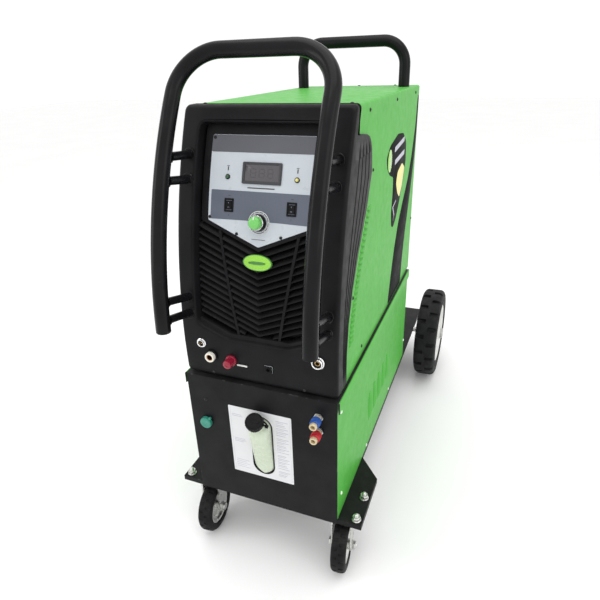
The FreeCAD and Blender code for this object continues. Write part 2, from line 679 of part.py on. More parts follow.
def ear_profile(x):
    """Side outline of the moulded front: collar at the top, then the ear that narrows downward."""
    front = [V(x, arc_y(z, FRONT_R), z)
             for z in (FRONT_BOTTOM, (FRONT_BOTTOM + FRONT_TOP) / 2, FRONT_TOP)]
    front_arc = Part.Arc(*front).toShape()
    curve = Part.BSplineCurve()
    curve.interpolate([V(x, y, z) for y, z in EAR_CURVE])
    lobe = Part.Arc(V(x, 179, 944), V(x, 212, 926), V(x, 222, 890)).toShape()
    corners = [front[2], V(x, COVER_FRONT, FRONT_TOP), V(x, COVER_FRONT, 951), V(x, 179, 944)]
    edges = [front_arc] + [Part.LineSegment(a, b).toShape() for a, b in zip(corners, corners[1:])]
    edges += [lobe, Part.LineSegment(V(x, 222, 890), V(x, 222, 866)).toShape(), curve.toShape()]
    foot = [V(x, 61, 486), V(x, 56, FRONT_BOTTOM), front[0]]
    edges += [Part.LineSegment(a, b).toShape() for a, b in zip(foot, foot[1:])]
    return Part.Face(Part.Wire(edges))


LOUVRE_PITCH = 14.0
LOUVRE_GAP = 6.5
LOUVRE_SLOPE = math.radians(20)
LOUVRE_ROWS = 13
LOUVRE_INNER = (6.0, 52.0)
LOUVRE_OUTER = (66.0, 116.0)
LOUVRE_FIRST = 735.0           # top of the first row on the middle line
LOUVRE_LOWEST = {LOUVRE_INNER: 584.0, LOUVRE_OUTER: 600.0}
PANEL_HALF = 107.0
PANEL_TOP = 949.0
PANEL_SHOULDER = 800.0
PANEL_TIP = 757.0


def window_outline(grow=0.0):
    """Front outline of the recessed field, moved outward by grow on every side."""
    half, foot = WINDOW_HALF + grow, 64 + grow
    top, low, bottom = WINDOW_TOP + grow, 598 - grow, 571 - grow
    return [(-half, top), (half, top), (half, low), (foot, bottom), (-foot, bottom), (-half, low)]


def louvre_slots():
    """Slanted air slots in four columns that form chevrons pointing down."""
    slots = []
    slope = math.tan(LOUVRE_SLOPE)
    for row in range(LOUVRE_ROWS):
        for low, high in (LOUVRE_INNER, LOUVRE_OUTER):
            top = LOUVRE_FIRST - row * LOUVRE_PITCH
            near, far = top + low * slope, top + high * slope
            if near - LOUVRE_GAP < LOUVRE_LOWEST[(low, high)]:
                continue
            points = [(low, near), (high, far), (high, far - LOUVRE_GAP), (low, near - LOUVRE_GAP)]
            slot = plate_xz(points, -10, 140)
            slots += [slot, mirrored(slot)]
    return slots


def front_bezel():
    """Moulded plastic front: rim, recessed field with louvres, side walls and ribbed ears."""
    wall = UPPER_HALF
    body = ear_profile(-FRONT_HALF).extrude(V(2 * FRONT_HALF, 0, 0))
    inside = box(-wall, wall, -20, 400, FRONT_BOTTOM + SKIN, FRONT_TOP - SKIN)
    behind = box(-wall, wall, -20, 400, FRONT_BOTTOM - 5, FRONT_TOP + 5)
    open_back = behind.common(front_cylinder(FRONT_R - RIM_DEPTH))
    window = plate_xz(window_outline(), -40, 200)
    window_wall = plate_xz(window_outline(SKIN), -40, 200)
    window_core = plate_xz(window_outline(-SKIN), -40, 200)
    hollow_rim = inside.common(front_cylinder(FRONT_R - SKIN)).cut(window_wall)
    recess = window.cut(front_cylinder(FRONT_R - RECESS))
    behind_floor = window_core.common(front_cylinder(FRONT_R - RECESS - SKIN))
    tools = [open_back, hollow_rim, recess, behind_floor]
    body = body.cut(tools)
    body = body.cut(louvre_slots())
    ports = [rod(r, (x, -20, z), (x, 60, z)) for x, z, r in SOCKET_HOLES]
    panel_holes = [rod(6, (0, 0, KNOB_Z), (0, 140, KNOB_Z)),
                   box(-42, 42, 40, 140, DISPLAY_Z - 21, DISPLAY_Z + 21)]
    panel_holes += [rod(5.5, (x, 0, LAMP_Z), (x, 140, LAMP_Z)) for x in (-LAMP_X, LAMP_X)]
    panel_holes += [box(x - 8, x + 8, 30, 140, ROCKER_Z - 11, ROCKER_Z + 11) for x in (-ROCKER_X, ROCKER_X)]
    return body.cut(ports + panel_holes + ear_grooves())


def groove_edge(k, shift):
    """One long edge of groove k, shift millimetres behind its middle line."""
    points = []
    for z in GROOVE_LEVELS:
        back = ear_edge(z)
        pitch = (back - arc_y(z, FRONT_R - RIM_DEPTH)) / (GROOVE_COUNT + 1.25)
        points.append(V(FRONT_HALF - 1.4, back - pitch * k + shift, z))
    curve = Part.BSplineCurve()
    curve.interpolate(points)
    return curve.toShape(), points


def ear_grooves():
    """Shallow grooves on each ear, parallel to its rear edge and closing up at the foot."""
    grooves = []
    for k in range(1, GROOVE_COUNT + 1):
        first, a = groove_edge(k, -1.6)
        second, b = groove_edge(k, 1.6)
        ends = [Part.LineSegment(a[0], b[0]).toShape(), Part.LineSegment(a[-1], b[-1]).toShape()]
        face = Part.Face(Part.Wire(Part.__sortEdges__([first, second] + ends)))
        groove = face.extrude(V(5, 0, 0))
        grooves += [groove, mirrored(groove)]
    return grooves


KNOB_Z = 802.0
DISPLAY_Z = 886.0
LAMP_X = 69.0
LAMP_Z = 878.0
ROCKER_X = 63.0
ROCKER_Z = 829.0
BADGE_Z = 730.0
SOCKET_HOLES = [(-124.0, 554.0, 8.0), (-103.0, 528.0, 10.0), (-58.0, 525.0, 8.0), (24.0, 520.0, 6.0),
                (128.0, 557.0, 10.0)]
PANEL_T = 1.5


def curved_plate(outline, depth, thickness):
    """A plate of the given front outline that follows the moulded front's curve."""
    prism = plate_xz(outline, -60, 220)
    shell = front_cylinder(FRONT_R - depth + thickness).cut(front_cylinder(FRONT_R - depth))
    return prism.common(shell)


def control_panel():
    outline = [(-PANEL_HALF, PANEL_TOP), (PANEL_HALF, PANEL_TOP), (PANEL_HALF, PANEL_SHOULDER),
               (0, PANEL_TIP), (-PANEL_HALF, PANEL_SHOULDER)]
    plate = curved_plate(outline, RECESS, PANEL_T)
    holes = [rod(6, (0, 0, KNOB_Z), (0, 140, KNOB_Z)),
             box(-40, 40, 40, 140, DISPLAY_Z - 20, DISPLAY_Z + 20)]
    holes += [rod(3.6, (x, 0, LAMP_Z), (x, 140, LAMP_Z)) for x in (-LAMP_X, LAMP_X)]
    holes += [box(x - 8, x + 8, 30, 140, ROCKER_Z - 11, ROCKER_Z + 11) for x in (-ROCKER_X, ROCKER_X)]
    return group([plate.cut(holes), potentiometer()] + rocker_frames())


def potentiometer():
    """Rotary control behind the panel; its bushing guides the knob's shaft."""
    bushing = rod(5.9, (0, 0, -16), (0, 0, 0))
    can = rod(12, (0, 0, -30), (0, 0, -16))
    bore = rod(3.05, (0, 0, -15), (0, 0, 1))
    return on_panel(join([bushing, can]).cut(bore), 0, KNOB_Z)


def panel_frame(z, depth=RECESS):
    """Point on the recessed field at height z, and the field's outward direction there."""
    y = arc_y(z, FRONT_R - depth)
    way = V(0, y - FRONT_CY, z - FRONT_CZ)
    way.normalize()
    return V(0, y, z), way


def on_panel(shape, x, z, depth=RECESS):
    """Place a shape, drawn with its base at Z = 0 and X across, square on the field."""
    base, way = panel_frame(z, depth)
    turn = FreeCAD.Rotation(Z_AXIS, way)
    placed = shape.copy()
    placed.Placement = FreeCAD.Placement(V(x, base.y, base.z), turn).multiply(placed.Placement)
    return placed


def display_window():
    """Digital meter: case behind the panel and a window frame that stands slightly proud."""
    case = box(-38.5, 38.5, -19, 19, -18, PANEL_T + 2.5)
    pane = box(-34, 34, -15, 15, PANEL_T + 1.3, PANEL_T + 3)
    return on_panel(case.cut(pane), 0, DISPLAY_Z)


def indicator_lamps():
    lamps = []
    for x in (-LAMP_X, LAMP_X):
        lamp = join([Part.makeCylinder(3.2, 14, V(0, 0, -12)), Part.makeSphere(3.2, V(0, 0, 2))])
        collar = Part.makeCylinder(4.6, 1, V(0, 0, PANEL_T))
        lamps.append(on_panel(join([lamp, collar]), x, LAMP_Z))
    return group(lamps)


def rocker_frames():
    """Snap-in frames that hold the two rocker switches in the panel."""
    frames = []
    for x in (-ROCKER_X, ROCKER_X):
        flange = box(-9.5, 9.5, -12.5, 12.5, PANEL_T, PANEL_T + 2)
        well = box(-7.4, 7.4, -10.2, 10.2, -14, PANEL_T + 0.5)
        cavity = box(-6.2, 6.2, -9.2, 9.2, -12, PANEL_T + 3)
        pin_hole = rod(1.05, (-9, 0, ROCKER_PIVOT), (9, 0, ROCKER_PIVOT))
        frames.append(on_panel(join([flange, well]).cut([cavity, pin_hole]), x, ROCKER_Z))
    return frames


ROCKER_PIVOT = -4.0


def rocker(x):
    """Paddle that tips about a pivot across its middle."""
    paddle = box(-5.9, 5.9, -7.7, 7.7, 1.0, PANEL_T + 4)
    web = box(-5.9, 5.9, -5, 5, ROCKER_PIVOT - 2, 2)
    pin = rod(1.0, (-7, 0, ROCKER_PIVOT), (7, 0, ROCKER_PIVOT))
    dish = Part.makeCylinder(30, 14, V(-7, 0, PANEL_T + 32.6), X_AXIS)
    return on_panel(join([paddle, web, pin]).cut(dish), x, ROCKER_Z)


KNOB_SKIRT_R = 15.5
KNOB_SKIRT = 9.0
KNOB_CROWN = 14.0
KNOB_FLUTES = 20


def current_knob():
    """Tall round knob with a fluted skirt, a tapering crown and a shaft into the control."""
    base = PANEL_T + GAP
    top = base + KNOB_SKIRT + KNOB_CROWN
    skirt = Part.makeCylinder(KNOB_SKIRT_R, KNOB_SKIRT, V(0, 0, base))
    crown = Part.makeCone(KNOB_SKIRT_R - 1.7, KNOB_SKIRT_R - 3.5, KNOB_CROWN, V(0, 0, base + KNOB_SKIRT))
    shaft = Part.makeCylinder(3.0, 20, V(0, 0, -14))
    pointer = box(-1, 1, 5, KNOB_SKIRT_R - 3.5, top - 1, top + 1)
    knob = join([skirt, crown, shaft, pointer])
    flutes = []
    for k in range(KNOB_FLUTES):
        flute = Part.makeCylinder(1.3, 12, V(KNOB_SKIRT_R + 0.4, 0, PANEL_T - 1))
        flute.rotate(V(0, 0, 0), Z_AXIS, 360.0 * k / KNOB_FLUTES)
        flutes.append(flute)
    return on_panel(knob.cut(flutes), 0, KNOB_Z)


def badge():
    """Plain domed oval plaque."""
    dome = Part.makeCylinder(30, 4)
    stretch = FreeCAD.Matrix()
    stretch.scale(1.0, 0.52, 1.0)
    dome = dome.transformGeometry(stretch)
    rim = [e for e in dome.Edges if abs(e.CenterOfMass.z - 4) < 0.01]
    return on_panel(dome.makeFillet(1.6, rim), 0, BADGE_Z)


# --- sockets on the front ----------------------------------------------------------------
SOCKET_Y = FRONT_CY - FRONT_R


def control_socket():
    """Round two-pin signal connector."""
    x, z, r = SOCKET_HOLES[0]
    y = SOCKET_Y
    shell = ring(r + 2.5, r - 2, (x, y - 5, z), (x, y, z))
    barrel = ring(r - 0.2, r - 2, (x, y - 5, z), (x, y + 18, z))
    core = rod(r - 2, (x, y + 4, z), (x, y + 16, z))
    pins = [rod(0.8, (x + dx, y - 2, z), (x + dx, y + 6, z)) for dx in (-2.4, 2.4)]
    return join([shell, barrel, core] + pins)


def torch_socket():
    """Central torch connector with a bore for the torch plug."""
    x, z, r = SOCKET_HOLES[1]
    y = SOCKET_Y
    flange = rod(r + 3.5, (x, y - 4, z), (x, y, z))
    nose = rod(r + 0.5, (x, y - 12, z), (x, y - 3, z))
    shank = rod(r - 0.2, (x, y - 1, z), (x, y + 26, z))
    bore = rod(6, (x, y - 14, z), (x, y + 12, z))
    return join([flange, nose, shank]).cut(bore)


def red_terminal():
    """Insulated binding post for the pilot arc lead, with its flat lug."""
    x, z, r = SOCKET_HOLES[2]
    y = SOCKET_Y
    base = rod(r + 4, (x, y - 6, z), (x, y, z))
    grip = rod(r + 1.5, (x, y - 22, z), (x, y - 5, z))
    shank = rod(r - 0.2, (x, y - 1, z), (x, y + 22, z))
    return group([join([base, grip, shank]), terminal_lug()])


def terminal_lug():
    """Flat tinned lug beside the red terminal."""
    x, z, _ = SOCKET_HOLES[2]
    y = SOCKET_Y
    return box(x + 12.3, x + 36, y - 2.5, y, z - 9.4, z - 5.2)


def square_socket():
    """Small square-flanged socket for the remote lead."""
    x, z, r = SOCKET_HOLES[3]
    y = SOCKET_Y
    half = r + 2.5
    flange = box(x - half, x + half, y - 3.5, y, z - half, z + half)
    shank = rod(r - 0.2, (x, y - 2, z), (x, y + 20, z))
    bore = rod(r - 2, (x, y - 6, z), (x, y + 8, z))
    return join([flange, shank]).cut(bore)


def work_socket():
    """Bayonet socket for the work lead, below the end of the right-hand leg."""
    x, z, r = SOCKET_HOLES[4]
    y = SOCKET_Y
    flange = rod(r + 4, (x, y - 4, z), (x, y, z))
    shank = rod(r - 0.2, (x, y - 9, z), (x, y + 22, z))
    bore = rod(6.5, (x, y - 12, z), (x, y + 14, z))
    return join([flange, shank]).cut(bore)


# --- handles -----------------------------------------------------------------------------
def grab_path():
    """Centre line of the front handle: curved legs, bends of one radius and a level top bar."""
    end = V(GRAB_X, grab_y(GRAB_HIGH), GRAB_HIGH)
    start = V(GRAB_X, grab_y(GRAB_LOW), GRAB_LOW)
    middle_z = (GRAB_LOW + GRAB_HIGH) / 2
    middle = V(GRAB_X, grab_y(middle_z), middle_z)
    rise = V(0, GRAB_HIGH - GRAB_CZ, GRAB_CY - end.y)
    rise.normalize()
    centre = end - X_AXIS * GRAB_BEND
    diagonal = (X_AXIS + rise) * (GRAB_BEND / math.sqrt(2))
    bend_end = centre + rise * GRAB_BEND
    flip = FreeCAD.Matrix()
    flip.scale(-1, 1, 1)
    edges = [Part.Arc(start, middle, end).toShape(),
             Part.Arc(end, centre + diagonal, bend_end).toShape(),
             Part.LineSegment(bend_end, flip.multiply(bend_end)).toShape(),
             Part.Arc(flip.multiply(bend_end), flip.multiply(centre + diagonal),
                      flip.multiply(end)).toShape(),
             Part.Arc(flip.multiply(end), flip.multiply(middle), flip.multiply(start)).toShape()]
    tangent = V(0, GRAB_LOW - GRAB_CZ, GRAB_CY - start.y)
    return Part.Wire(edges), start, tangent


def rear_path():
    top = REAR_HANDLE_Z
    bend = REAR_HANDLE_BEND
    reach = REAR_HANDLE_X
    slant = bend / math.sqrt(2)
    y = REAR_HANDLE_Y
    start = V(reach, y, UPPER_TOP)
    edges = [Part.LineSegment(start, V(reach, y, top - bend)).toShape(),
             Part.Arc(V(reach, y, top - bend), V(reach - bend + slant, y, top - bend + slant),
                      V(reach - bend, y, top)).toShape(),
             Part.LineSegment(V(reach - bend, y, top), V(-reach + bend, y, top)).toShape(),
             Part.Arc(V(-reach + bend, y, top), V(-reach + bend - slant, y, top - bend + slant),
                      V(-reach, y, top - bend)).toShape(),
             Part.LineSegment(V(-reach, y, top - bend), V(-reach, y, UPPER_TOP)).toShape()]
    return Part.Wire(edges), start, Z_AXIS


STANDOFF_R = 8.0
STANDOFF_LEVELS = [(924.0, 916.0), (886.0, 873.0), (676.0, 652.0), (640.0, 618.0)]


def handle_standoffs():
    """Short bars between the grab handle and the moulded front, two pairs on each side."""
    path, start, way = grab_path()
    solid_tube = pipe(path, TUBE_R, start, way)
    bars = []
    for tube_z, front_z in STANDOFF_LEVELS:
        near = V(GRAB_X, grab_y(tube_z), tube_z)
        far = V(GRAB_X, arc_y(front_z, FRONT_R), front_z)
        way_out = far - near
        way_out.normalize()
        bar = rod(STANDOFF_R, tuple(near), tuple(far + way_out * 14))
        bar = bar.cut([solid_tube, front_cylinder(FRONT_R)])
        bars += [bar, mirrored(bar)]
    return group(bars)


def handle_end_caps():
    """Plastic plugs with a thin flange that close the grab handle's lower ends."""
    _, start, way = grab_path()
    way.normalize()
    inside = tuple(start + way * 14)
    flange_end = tuple(start - way * 3)
    plug_r = TUBE_R - TUBE_WALL - 0.2
    cap = join([rod(plug_r, tuple(start), inside), rod(TUBE_R, flange_end, tuple(start))])
    return group([cap, mirrored(cap)])


# --- screws -------------------------------------------------------------------------------
def pan_head(x, y, z, way, radius=3.6, height=2.2):
    """Pan-head screw: domed head on the sheet and a short shank behind it."""
    start = V(x, y, z)
    out = V(*way)
    head = Part.makeCylinder(radius, height, start, out)
    rim = [e for e in head.Edges if (e.CenterOfMass - start).dot(out) > height - 0.01]
    head = head.makeFillet(height * 0.45, rim[:1])
    return head


SIDE_SCREWS_UPPER = [(208, 983), (449, 983), (683, 983), (243, 868), (110, 648), (729, 634), (185, 499)]
SIDE_SCREWS_LOWER = [(23, 440), (26, 222), (711, 228), (242, 176), (497, 178)]
TOP_SCREWS = [(-146, 150), (146, 150), (-100, 726), (0, 726), (100, 726)]
REAR_SCREWS = [(-152, 500), (152, 500), (-152, 740), (152, 740), (-152, 960), (152, 960)]


def case_screws():
    screws = []
    for y, z in SIDE_SCREWS_UPPER:
        head = pan_head(UPPER_HALF, y, z, (1, 0, 0))
        screws += [head, mirrored(head)]
    for y, z in SIDE_SCREWS_LOWER:
        head = pan_head(LOWER_HALF, y, z, (1, 0, 0))
        screws += [head, mirrored(head)]
    for x, y in TOP_SCREWS:
        screws.append(pan_head(x, y, UPPER_TOP, (0, 0, 1)))
    for x, z in REAR_SCREWS:
        screws.append(pan_head(x, UPPER_BACK - 1.5, z, (0, 1, 0)))
    screws.append(pan_head(-128, -SHEET, 416, (0, -1, 0)))
    return group(screws)


# --- inside the upper unit -----------------------------------------------------------------
def power_transformer():
    """Laminated core with two windings on the floor of the upper unit."""
    z = LOWER_TOP + 2
    core = box(-70, 70, 380, 470, z, z + 130).cut([box(-45, -8, 370, 480, z + 25, z + 105),
                                                   box(8, 45, 370, 480, z + 25, z + 105)])
    coil = box(-40, 40, 362, 488, z + 32, z + 98).cut(box(-8, 8, 380, 470, z + 20, z + 110))
    return group([core, coil.cut(core)])


def heatsink():
    z = LOWER_TOP + 190
    base = box(-110, 110, 250, 600, z, z + 10)
    fins = [box(x, x + 3, 250, 600, z + 10, z + 60) for x in range(-110, 110, 12)]
    posts = [box(x, x + 10, y, y + 10, LOWER_TOP + 2, z) for x in (-110, 100) for y in (250, 590)]
    return join([base] + fins + posts)


def control_board():
    z = LOWER_TOP + 300
    board = box(-120, 120, 280, 520, z, z + 1.6)
    chips = [box(x, x + 24, y, y + 16, z + 1.6, z + 12) for x in (-100, -50, 0, 50) for y in (300, 380, 460)]
    posts = [rod(4, (x, y, LOWER_TOP + 250), (x, y, z)) for x in (-96.5, 95.5) for y in (290, 510)]
    return join([board] + chips + posts)


def cable_gland():
    """Empty gland for the supply cable."""
    x, z = GLAND
    y = UPPER_BACK - 1.5
    flange = hexagon(30, (x, y, z), (x, y + 6, z))
    dome = Part.makeCone(13, 10, 14, V(x, y + 6, z), Y_AXIS)
    shank = rod(11.8, (x, y - 14, z), (x, y, z))
    bore = rod(7, (x, y - 20, z), (x, y + 30, z))
    return join([flange, dome, shank]).cut(bore)


def air_inlet():
    """Brass hose tail for compressed air."""
    x, z = AIR_INLET
    y = UPPER_BACK - 1.5
    flange = hexagon(20, (x, y, z), (x, y + 8, z))
    shank = rod(7.8, (x, y - 14, z), (x, y + 1, z))
    tail = rod(5.5, (x, y + 7, z), (x, y + 32, z))
    barbs = [Part.makeCone(6.5, 5.5, 5, V(x, y + d, z), Y_AXIS) for d in (12, 19, 26)]
    bore = rod(3.5, (x, y - 20, z), (x, y + 40, z))
    return join([flange, shank, tail] + barbs).cut(bore)


def breaker():
    """Body of the main circuit breaker, with the slot its lever swings in."""
    x, z = BREAKER
    y = UPPER_BACK - 1.5
    body = box(x - 25.5, x + 25.5, y - 55, y + 4, z - 37.5, z + 37.5)
    nose = box(x - 22, x + 22, y + 4, y + 10, z - 18, z + 18)
    slot = box(x - 11, x + 11, y - 14, y + 12, z - 15, z + 15)
    pin_hole = rod(2.05, (x - 13, y - 5, z), (x + 13, y - 5, z))
    return join([body, nose]).cut([slot, pin_hole])


def breaker_lever():
    x, z = BREAKER
    y = UPPER_BACK - 1.5
    barrel = rod(7, (x - 10, y - 5, z), (x + 10, y - 5, z))
    paddle = box(x - 9, x + 9, y - 5, y + 22, z - 3, z + 3)
    paddle.rotate(V(x, y - 5, z), X_AXIS, 18)
    pin = rod(2.0, (x - 12.5, y - 5, z), (x + 12.5, y - 5, z))
    return join([barrel, paddle, pin])


# --- export ---------------------------------------------------------------------------------
def build():
    os.makedirs("parts", exist_ok=True)
    save("base_tray", base_tray())
    save("rear_platform", rear_platform())
    save("rear_axle", rear_axle())
    save("chassis_fasteners", chassis_fasteners())
    save("castor_plates", group([castor_plate(), mirrored(castor_plate())]))
    for name, sign in SIDES:
        save("rear_tyre_" + name, on_side(rear_tyre(), sign))
        save("rear_rim_" + name, on_side(rear_rim(), sign))
        save("castor_fork_" + name, swivelled(group([castor_fork()] + castor_pin()), name, sign))
        save("castor_tyre_" + name, swivelled(castor_tyre(), name, sign))
        save("castor_wheel_" + name, swivelled(castor_wheel(), name, sign))
        save("lower_side_" + name, on_side(lower_side(), sign))
        save("upper_side_" + name, on_side(upper_side(), sign))
    save("lower_front_panel", lower_front_panel())
    save("lower_rear_panel", lower_rear_panel())
    save("lower_lid", lower_lid())
    save("coolant_bottle", coolant_bottle())
    save("filler_cap", filler_cap())
    save("coolant_tank", coolant_tank())
    save("coolant_pump", coolant_pump())
    save("radiator", radiator())
    save("cooler_fan", fan(88, 24, 22, 7, COOLER_FAN))
    save("main_fan", fan(100, 30, 28, 9, MAIN_FAN))
    save("fan_motors", group([fan_motor(COOLER_FAN, 472, 494, 524, 442),
                              fan_motor(MAIN_FAN, 716, 688, 658, UPPER_BACK - 3.5)]))
    save("coupling_nipples", group([coupling_nipple(z) for z in COUPLING_Z.values()]))
    for colour, z in COUPLING_Z.items():
        save("coupling_sleeve_" + colour, coupling_sleeve(z))
    save("drain_knob", drain_knob())
    save("upper_base", upper_base())
    save("top_cover", top_cover())
    save("upper_rear_panel", upper_rear_panel())
    save("front_bezel", front_bezel())
    save("control_panel", control_panel())
    save("display_window", display_window())
    save("indicator_lamps", indicator_lamps())
    save("rocker_left", rocker(-ROCKER_X))
    save("rocker_right", rocker(ROCKER_X))
    save("current_knob", current_knob())
    save("badge", badge())
    save("front_sockets", group([control_socket(), square_socket(), work_socket()]))
    save("torch_socket", torch_socket())
    save("red_terminal", red_terminal())
    save("front_handle", tube(*grab_path()))
    save("handle_standoffs", handle_standoffs())
    save("handle_end_caps", handle_end_caps())
    save("rear_handle", tube(*rear_path()))
    save("case_screws", case_screws())
    save("power_transformer", power_transformer())
    save("heatsink", heatsink())
    save("control_board", control_board())
    save("cable_gland", cable_gland())
    save("air_inlet", air_inlet())
    save("breaker", breaker())
    save("breaker_lever", breaker_lever())


build()
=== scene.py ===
import json
import math

import bmesh
import bpy
from mathutils import Matrix, Vector


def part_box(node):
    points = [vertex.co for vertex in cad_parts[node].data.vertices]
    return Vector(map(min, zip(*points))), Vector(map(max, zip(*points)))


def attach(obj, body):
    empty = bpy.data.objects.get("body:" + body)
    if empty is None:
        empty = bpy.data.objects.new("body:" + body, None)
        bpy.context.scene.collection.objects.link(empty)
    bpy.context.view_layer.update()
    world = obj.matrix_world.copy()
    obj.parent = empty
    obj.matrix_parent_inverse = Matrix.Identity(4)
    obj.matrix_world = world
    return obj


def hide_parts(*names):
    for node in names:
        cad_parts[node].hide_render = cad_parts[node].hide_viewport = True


# Plasma cutter unit. Lengths are millimetres in the machine's own frame: X across, Y = 0 on the back
# of the lower front panel, Z = 0 on the floor. at() turns them into the scene's metres.

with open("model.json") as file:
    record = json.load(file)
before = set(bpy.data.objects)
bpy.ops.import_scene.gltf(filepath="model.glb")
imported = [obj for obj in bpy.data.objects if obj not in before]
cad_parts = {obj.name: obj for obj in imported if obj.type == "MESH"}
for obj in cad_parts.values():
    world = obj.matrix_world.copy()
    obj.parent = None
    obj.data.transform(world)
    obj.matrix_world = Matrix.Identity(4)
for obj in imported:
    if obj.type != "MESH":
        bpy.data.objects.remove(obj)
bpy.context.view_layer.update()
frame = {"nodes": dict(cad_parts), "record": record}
FACE_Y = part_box("lower_front_panel")[1].y
SIDES = (("left", -1), ("right", 1))


def at(x, y, z):
    return Vector((x / 1000, FACE_Y + y / 1000, z / 1000))


def reach(node):
    """Lowest and highest corner of a CAD node, in machine millimetres."""
    low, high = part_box(node)
    return [Vector((p.x * 1000, (p.y - FACE_Y) * 1000, p.z * 1000)) for p in (low, high)]


# --- sizes read from the frame
BEZEL_LOW, BEZEL_HIGH = reach("front_bezel")
FRONT_HALF = BEZEL_HIGH.x
FRONT_BOTTOM = BEZEL_LOW.z
FRONT_TOP = BEZEL_HIGH.z
UPPER_HALF = reach("upper_side_right")[1].x
UPPER_TOP = reach("top_cover")[1].z
UPPER_BACK = reach("top_cover")[1].y
COVER_FRONT = reach("top_cover")[0].y
LOWER_HALF = reach("lower_side_right")[1].x
TYRE_LOW, TYRE_HIGH = reach("rear_tyre_right")
WHEEL_R = TYRE_HIGH.z / 2
WHEEL_Y = (TYRE_LOW.y + TYRE_HIGH.y) / 2
CASTOR_R = reach("castor_tyre_right")[1].z / 2

# --- the moulded front's shape
FRONT_R = 1050.0
FRONT_CY = 1055.0
FRONT_CZ = 540.0
RIM_DEPTH = 24.0
RIM_ROUND = 8.0
RECESS = 16.0
PAN_DEPTH = 36.0
WINDOW_HALF = 130.0
WINDOW_FLAT = 64.0
WINDOW_TOP = 970.0
WINDOW_SHOULDER = 598.0
WINDOW_LOW = 571.0
WINDOW = [(-WINDOW_HALF, WINDOW_SHOULDER), (-WINDOW_FLAT, WINDOW_LOW), (WINDOW_FLAT, WINDOW_LOW),
    (WINDOW_HALF, WINDOW_SHOULDER), (WINDOW_HALF, WINDOW_TOP), (-WINDOW_HALF, WINDOW_TOP)]
V_SLOPE = 0.402
PANEL_HALF = 107.0
PANEL_TOP = 949.0
PANEL_TIP = 757.0
PANEL_T = 1.5
LOUVRE_PITCH = 13.0
CELL = 12.0


def front_y(z, depth=0.0):
    """Y of the front's curved surface, or of one that lies depth behind it."""
    return FRONT_CY - math.sqrt((FRONT_R - depth) ** 2 - (z - FRONT_CZ) ** 2)


def on_front(x, z, depth=0.0):
    return Vector((x, front_y(z, depth), z))


def panel_matrix(x, z, depth=RECESS - PANEL_T):
    """Local Z points out of the front, local X across and local Y up along it."""
    out = Vector((0, front_y(z, depth) - FRONT_CY, z - FRONT_CZ)).normalized()
    across = Vector((1, 0, 0))
    up = out.cross(across)
    turn = Matrix((across, up, out)).transposed().to_4x4()
    return Matrix.Translation(on_front(x, z, depth)) @ turn


def facing(x, y, z, out, up=(0, 0, 1)):
    """Local Z points along out, local Y as near to up as it can."""
    out = Vector(out).normalized()
    across = Vector(up).cross(out).normalized()
    turn = Matrix((across, out.cross(across), out)).transposed().to_4x4()
    return Matrix.Translation(Vector((x, y, z))) @ turn


# --- shapes: a shape is (points, faces)
def merge(*shapes):
    points, faces = [], []
    for more_points, more_faces in shapes:
        start = len(points)
        points += more_points
        faces += [[i + start for i in face] for face in more_faces]
    return points, faces


def shift(x, y, z):
    return Matrix.Translation((x, y, z))


def spin(angle):
    return Matrix.Rotation(angle, 4, "Z")


def moved(shape, matrix):
    return [matrix @ Vector(p) for p in shape[0]], shape[1]


def flipped(shape):
    """The shape's mirror image across the machine's middle."""
    return [Vector((-p[0], p[1], p[2])) for p in shape[0]], [face[::-1] for face in shape[1]]


def both_sides(shape):
    return merge(shape, flipped(shape))


def loft(rings, caps=False):
    """Quads between rings of equally many points."""
    count = len(rings[0])
    points = [Vector(p) for ring in rings for p in ring]
    faces = []
    for row in range(len(rings) - 1):
        low, high = row * count, (row + 1) * count
        for k in range(count):
            nxt = (k + 1) % count
            faces.append([low + k, low + nxt, high + nxt, high + k])
    if caps:
        faces.append(list(range(count))[::-1])
        faces.append([(len(rings) - 1) * count + k for k in range(count)])
    return points, faces


def stacked(*levels):
    """Rings made of flat outlines, each lifted to its height."""
    return [[(p[0], p[1], z) for p in outline] for outline, z in levels]


def around(turns):
    return [math.tau * k / turns for k in range(turns)]


def circle(radius, z, angles):
    """A ring about local Z; radius is a number or a function of the angle."""
    size = radius if callable(radius) else lambda angle: radius
    return [(size(angle) * math.cos(angle), size(angle) * math.sin(angle), z) for angle in angles]


def soften(outline, reach_mm, closed=True, steps=4):
    """Round the corners of a flat outline; reach_mm is how far along each edge a corner starts."""
    points = [Vector(p) for p in outline]
    count = len(points)
    result = []
    for k, corner in enumerate(points):
        if not closed and k in (0, count - 1):
            result.append(corner)
            continue
        before, after = points[k - 1] - corner, points[(k + 1) % count] - corner
        start = min(reach_mm, before.length * 0.48)
        end = min(reach_mm, after.length * 0.48)
        a, b = corner + before.normalized() * start, corner + after.normalized() * end
        for step in range(steps + 1):
            t = step / steps
            result.append(a * (1 - t) ** 2 + corner * 2 * t * (1 - t) + b * t ** 2)
    return result


def lathe(profile, matrix, turns=48, soft=0.0, closed=False):
    """Turn (radius, height) points about the matrix's local Z."""
    if soft:
        profile = soften(profile, soft, closed, 3)
    rings = [circle(radius, height, around(turns)) for radius, height in profile]
    if closed:
        rings.append(rings[0])
    return moved(loft(rings), matrix)


def fluted(profile, turns, count, wave=lambda swing: 0.5 + 0.5 * swing):
    """Turn (radius, height, flute depth) points; the flutes repeat count times round the rim."""
    rings = []
    for radius, height, flute in profile:
        rings.append(circle(lambda angle: radius - flute * wave(math.cos(count * angle)), height,
            around(turns)))
    return loft(rings)


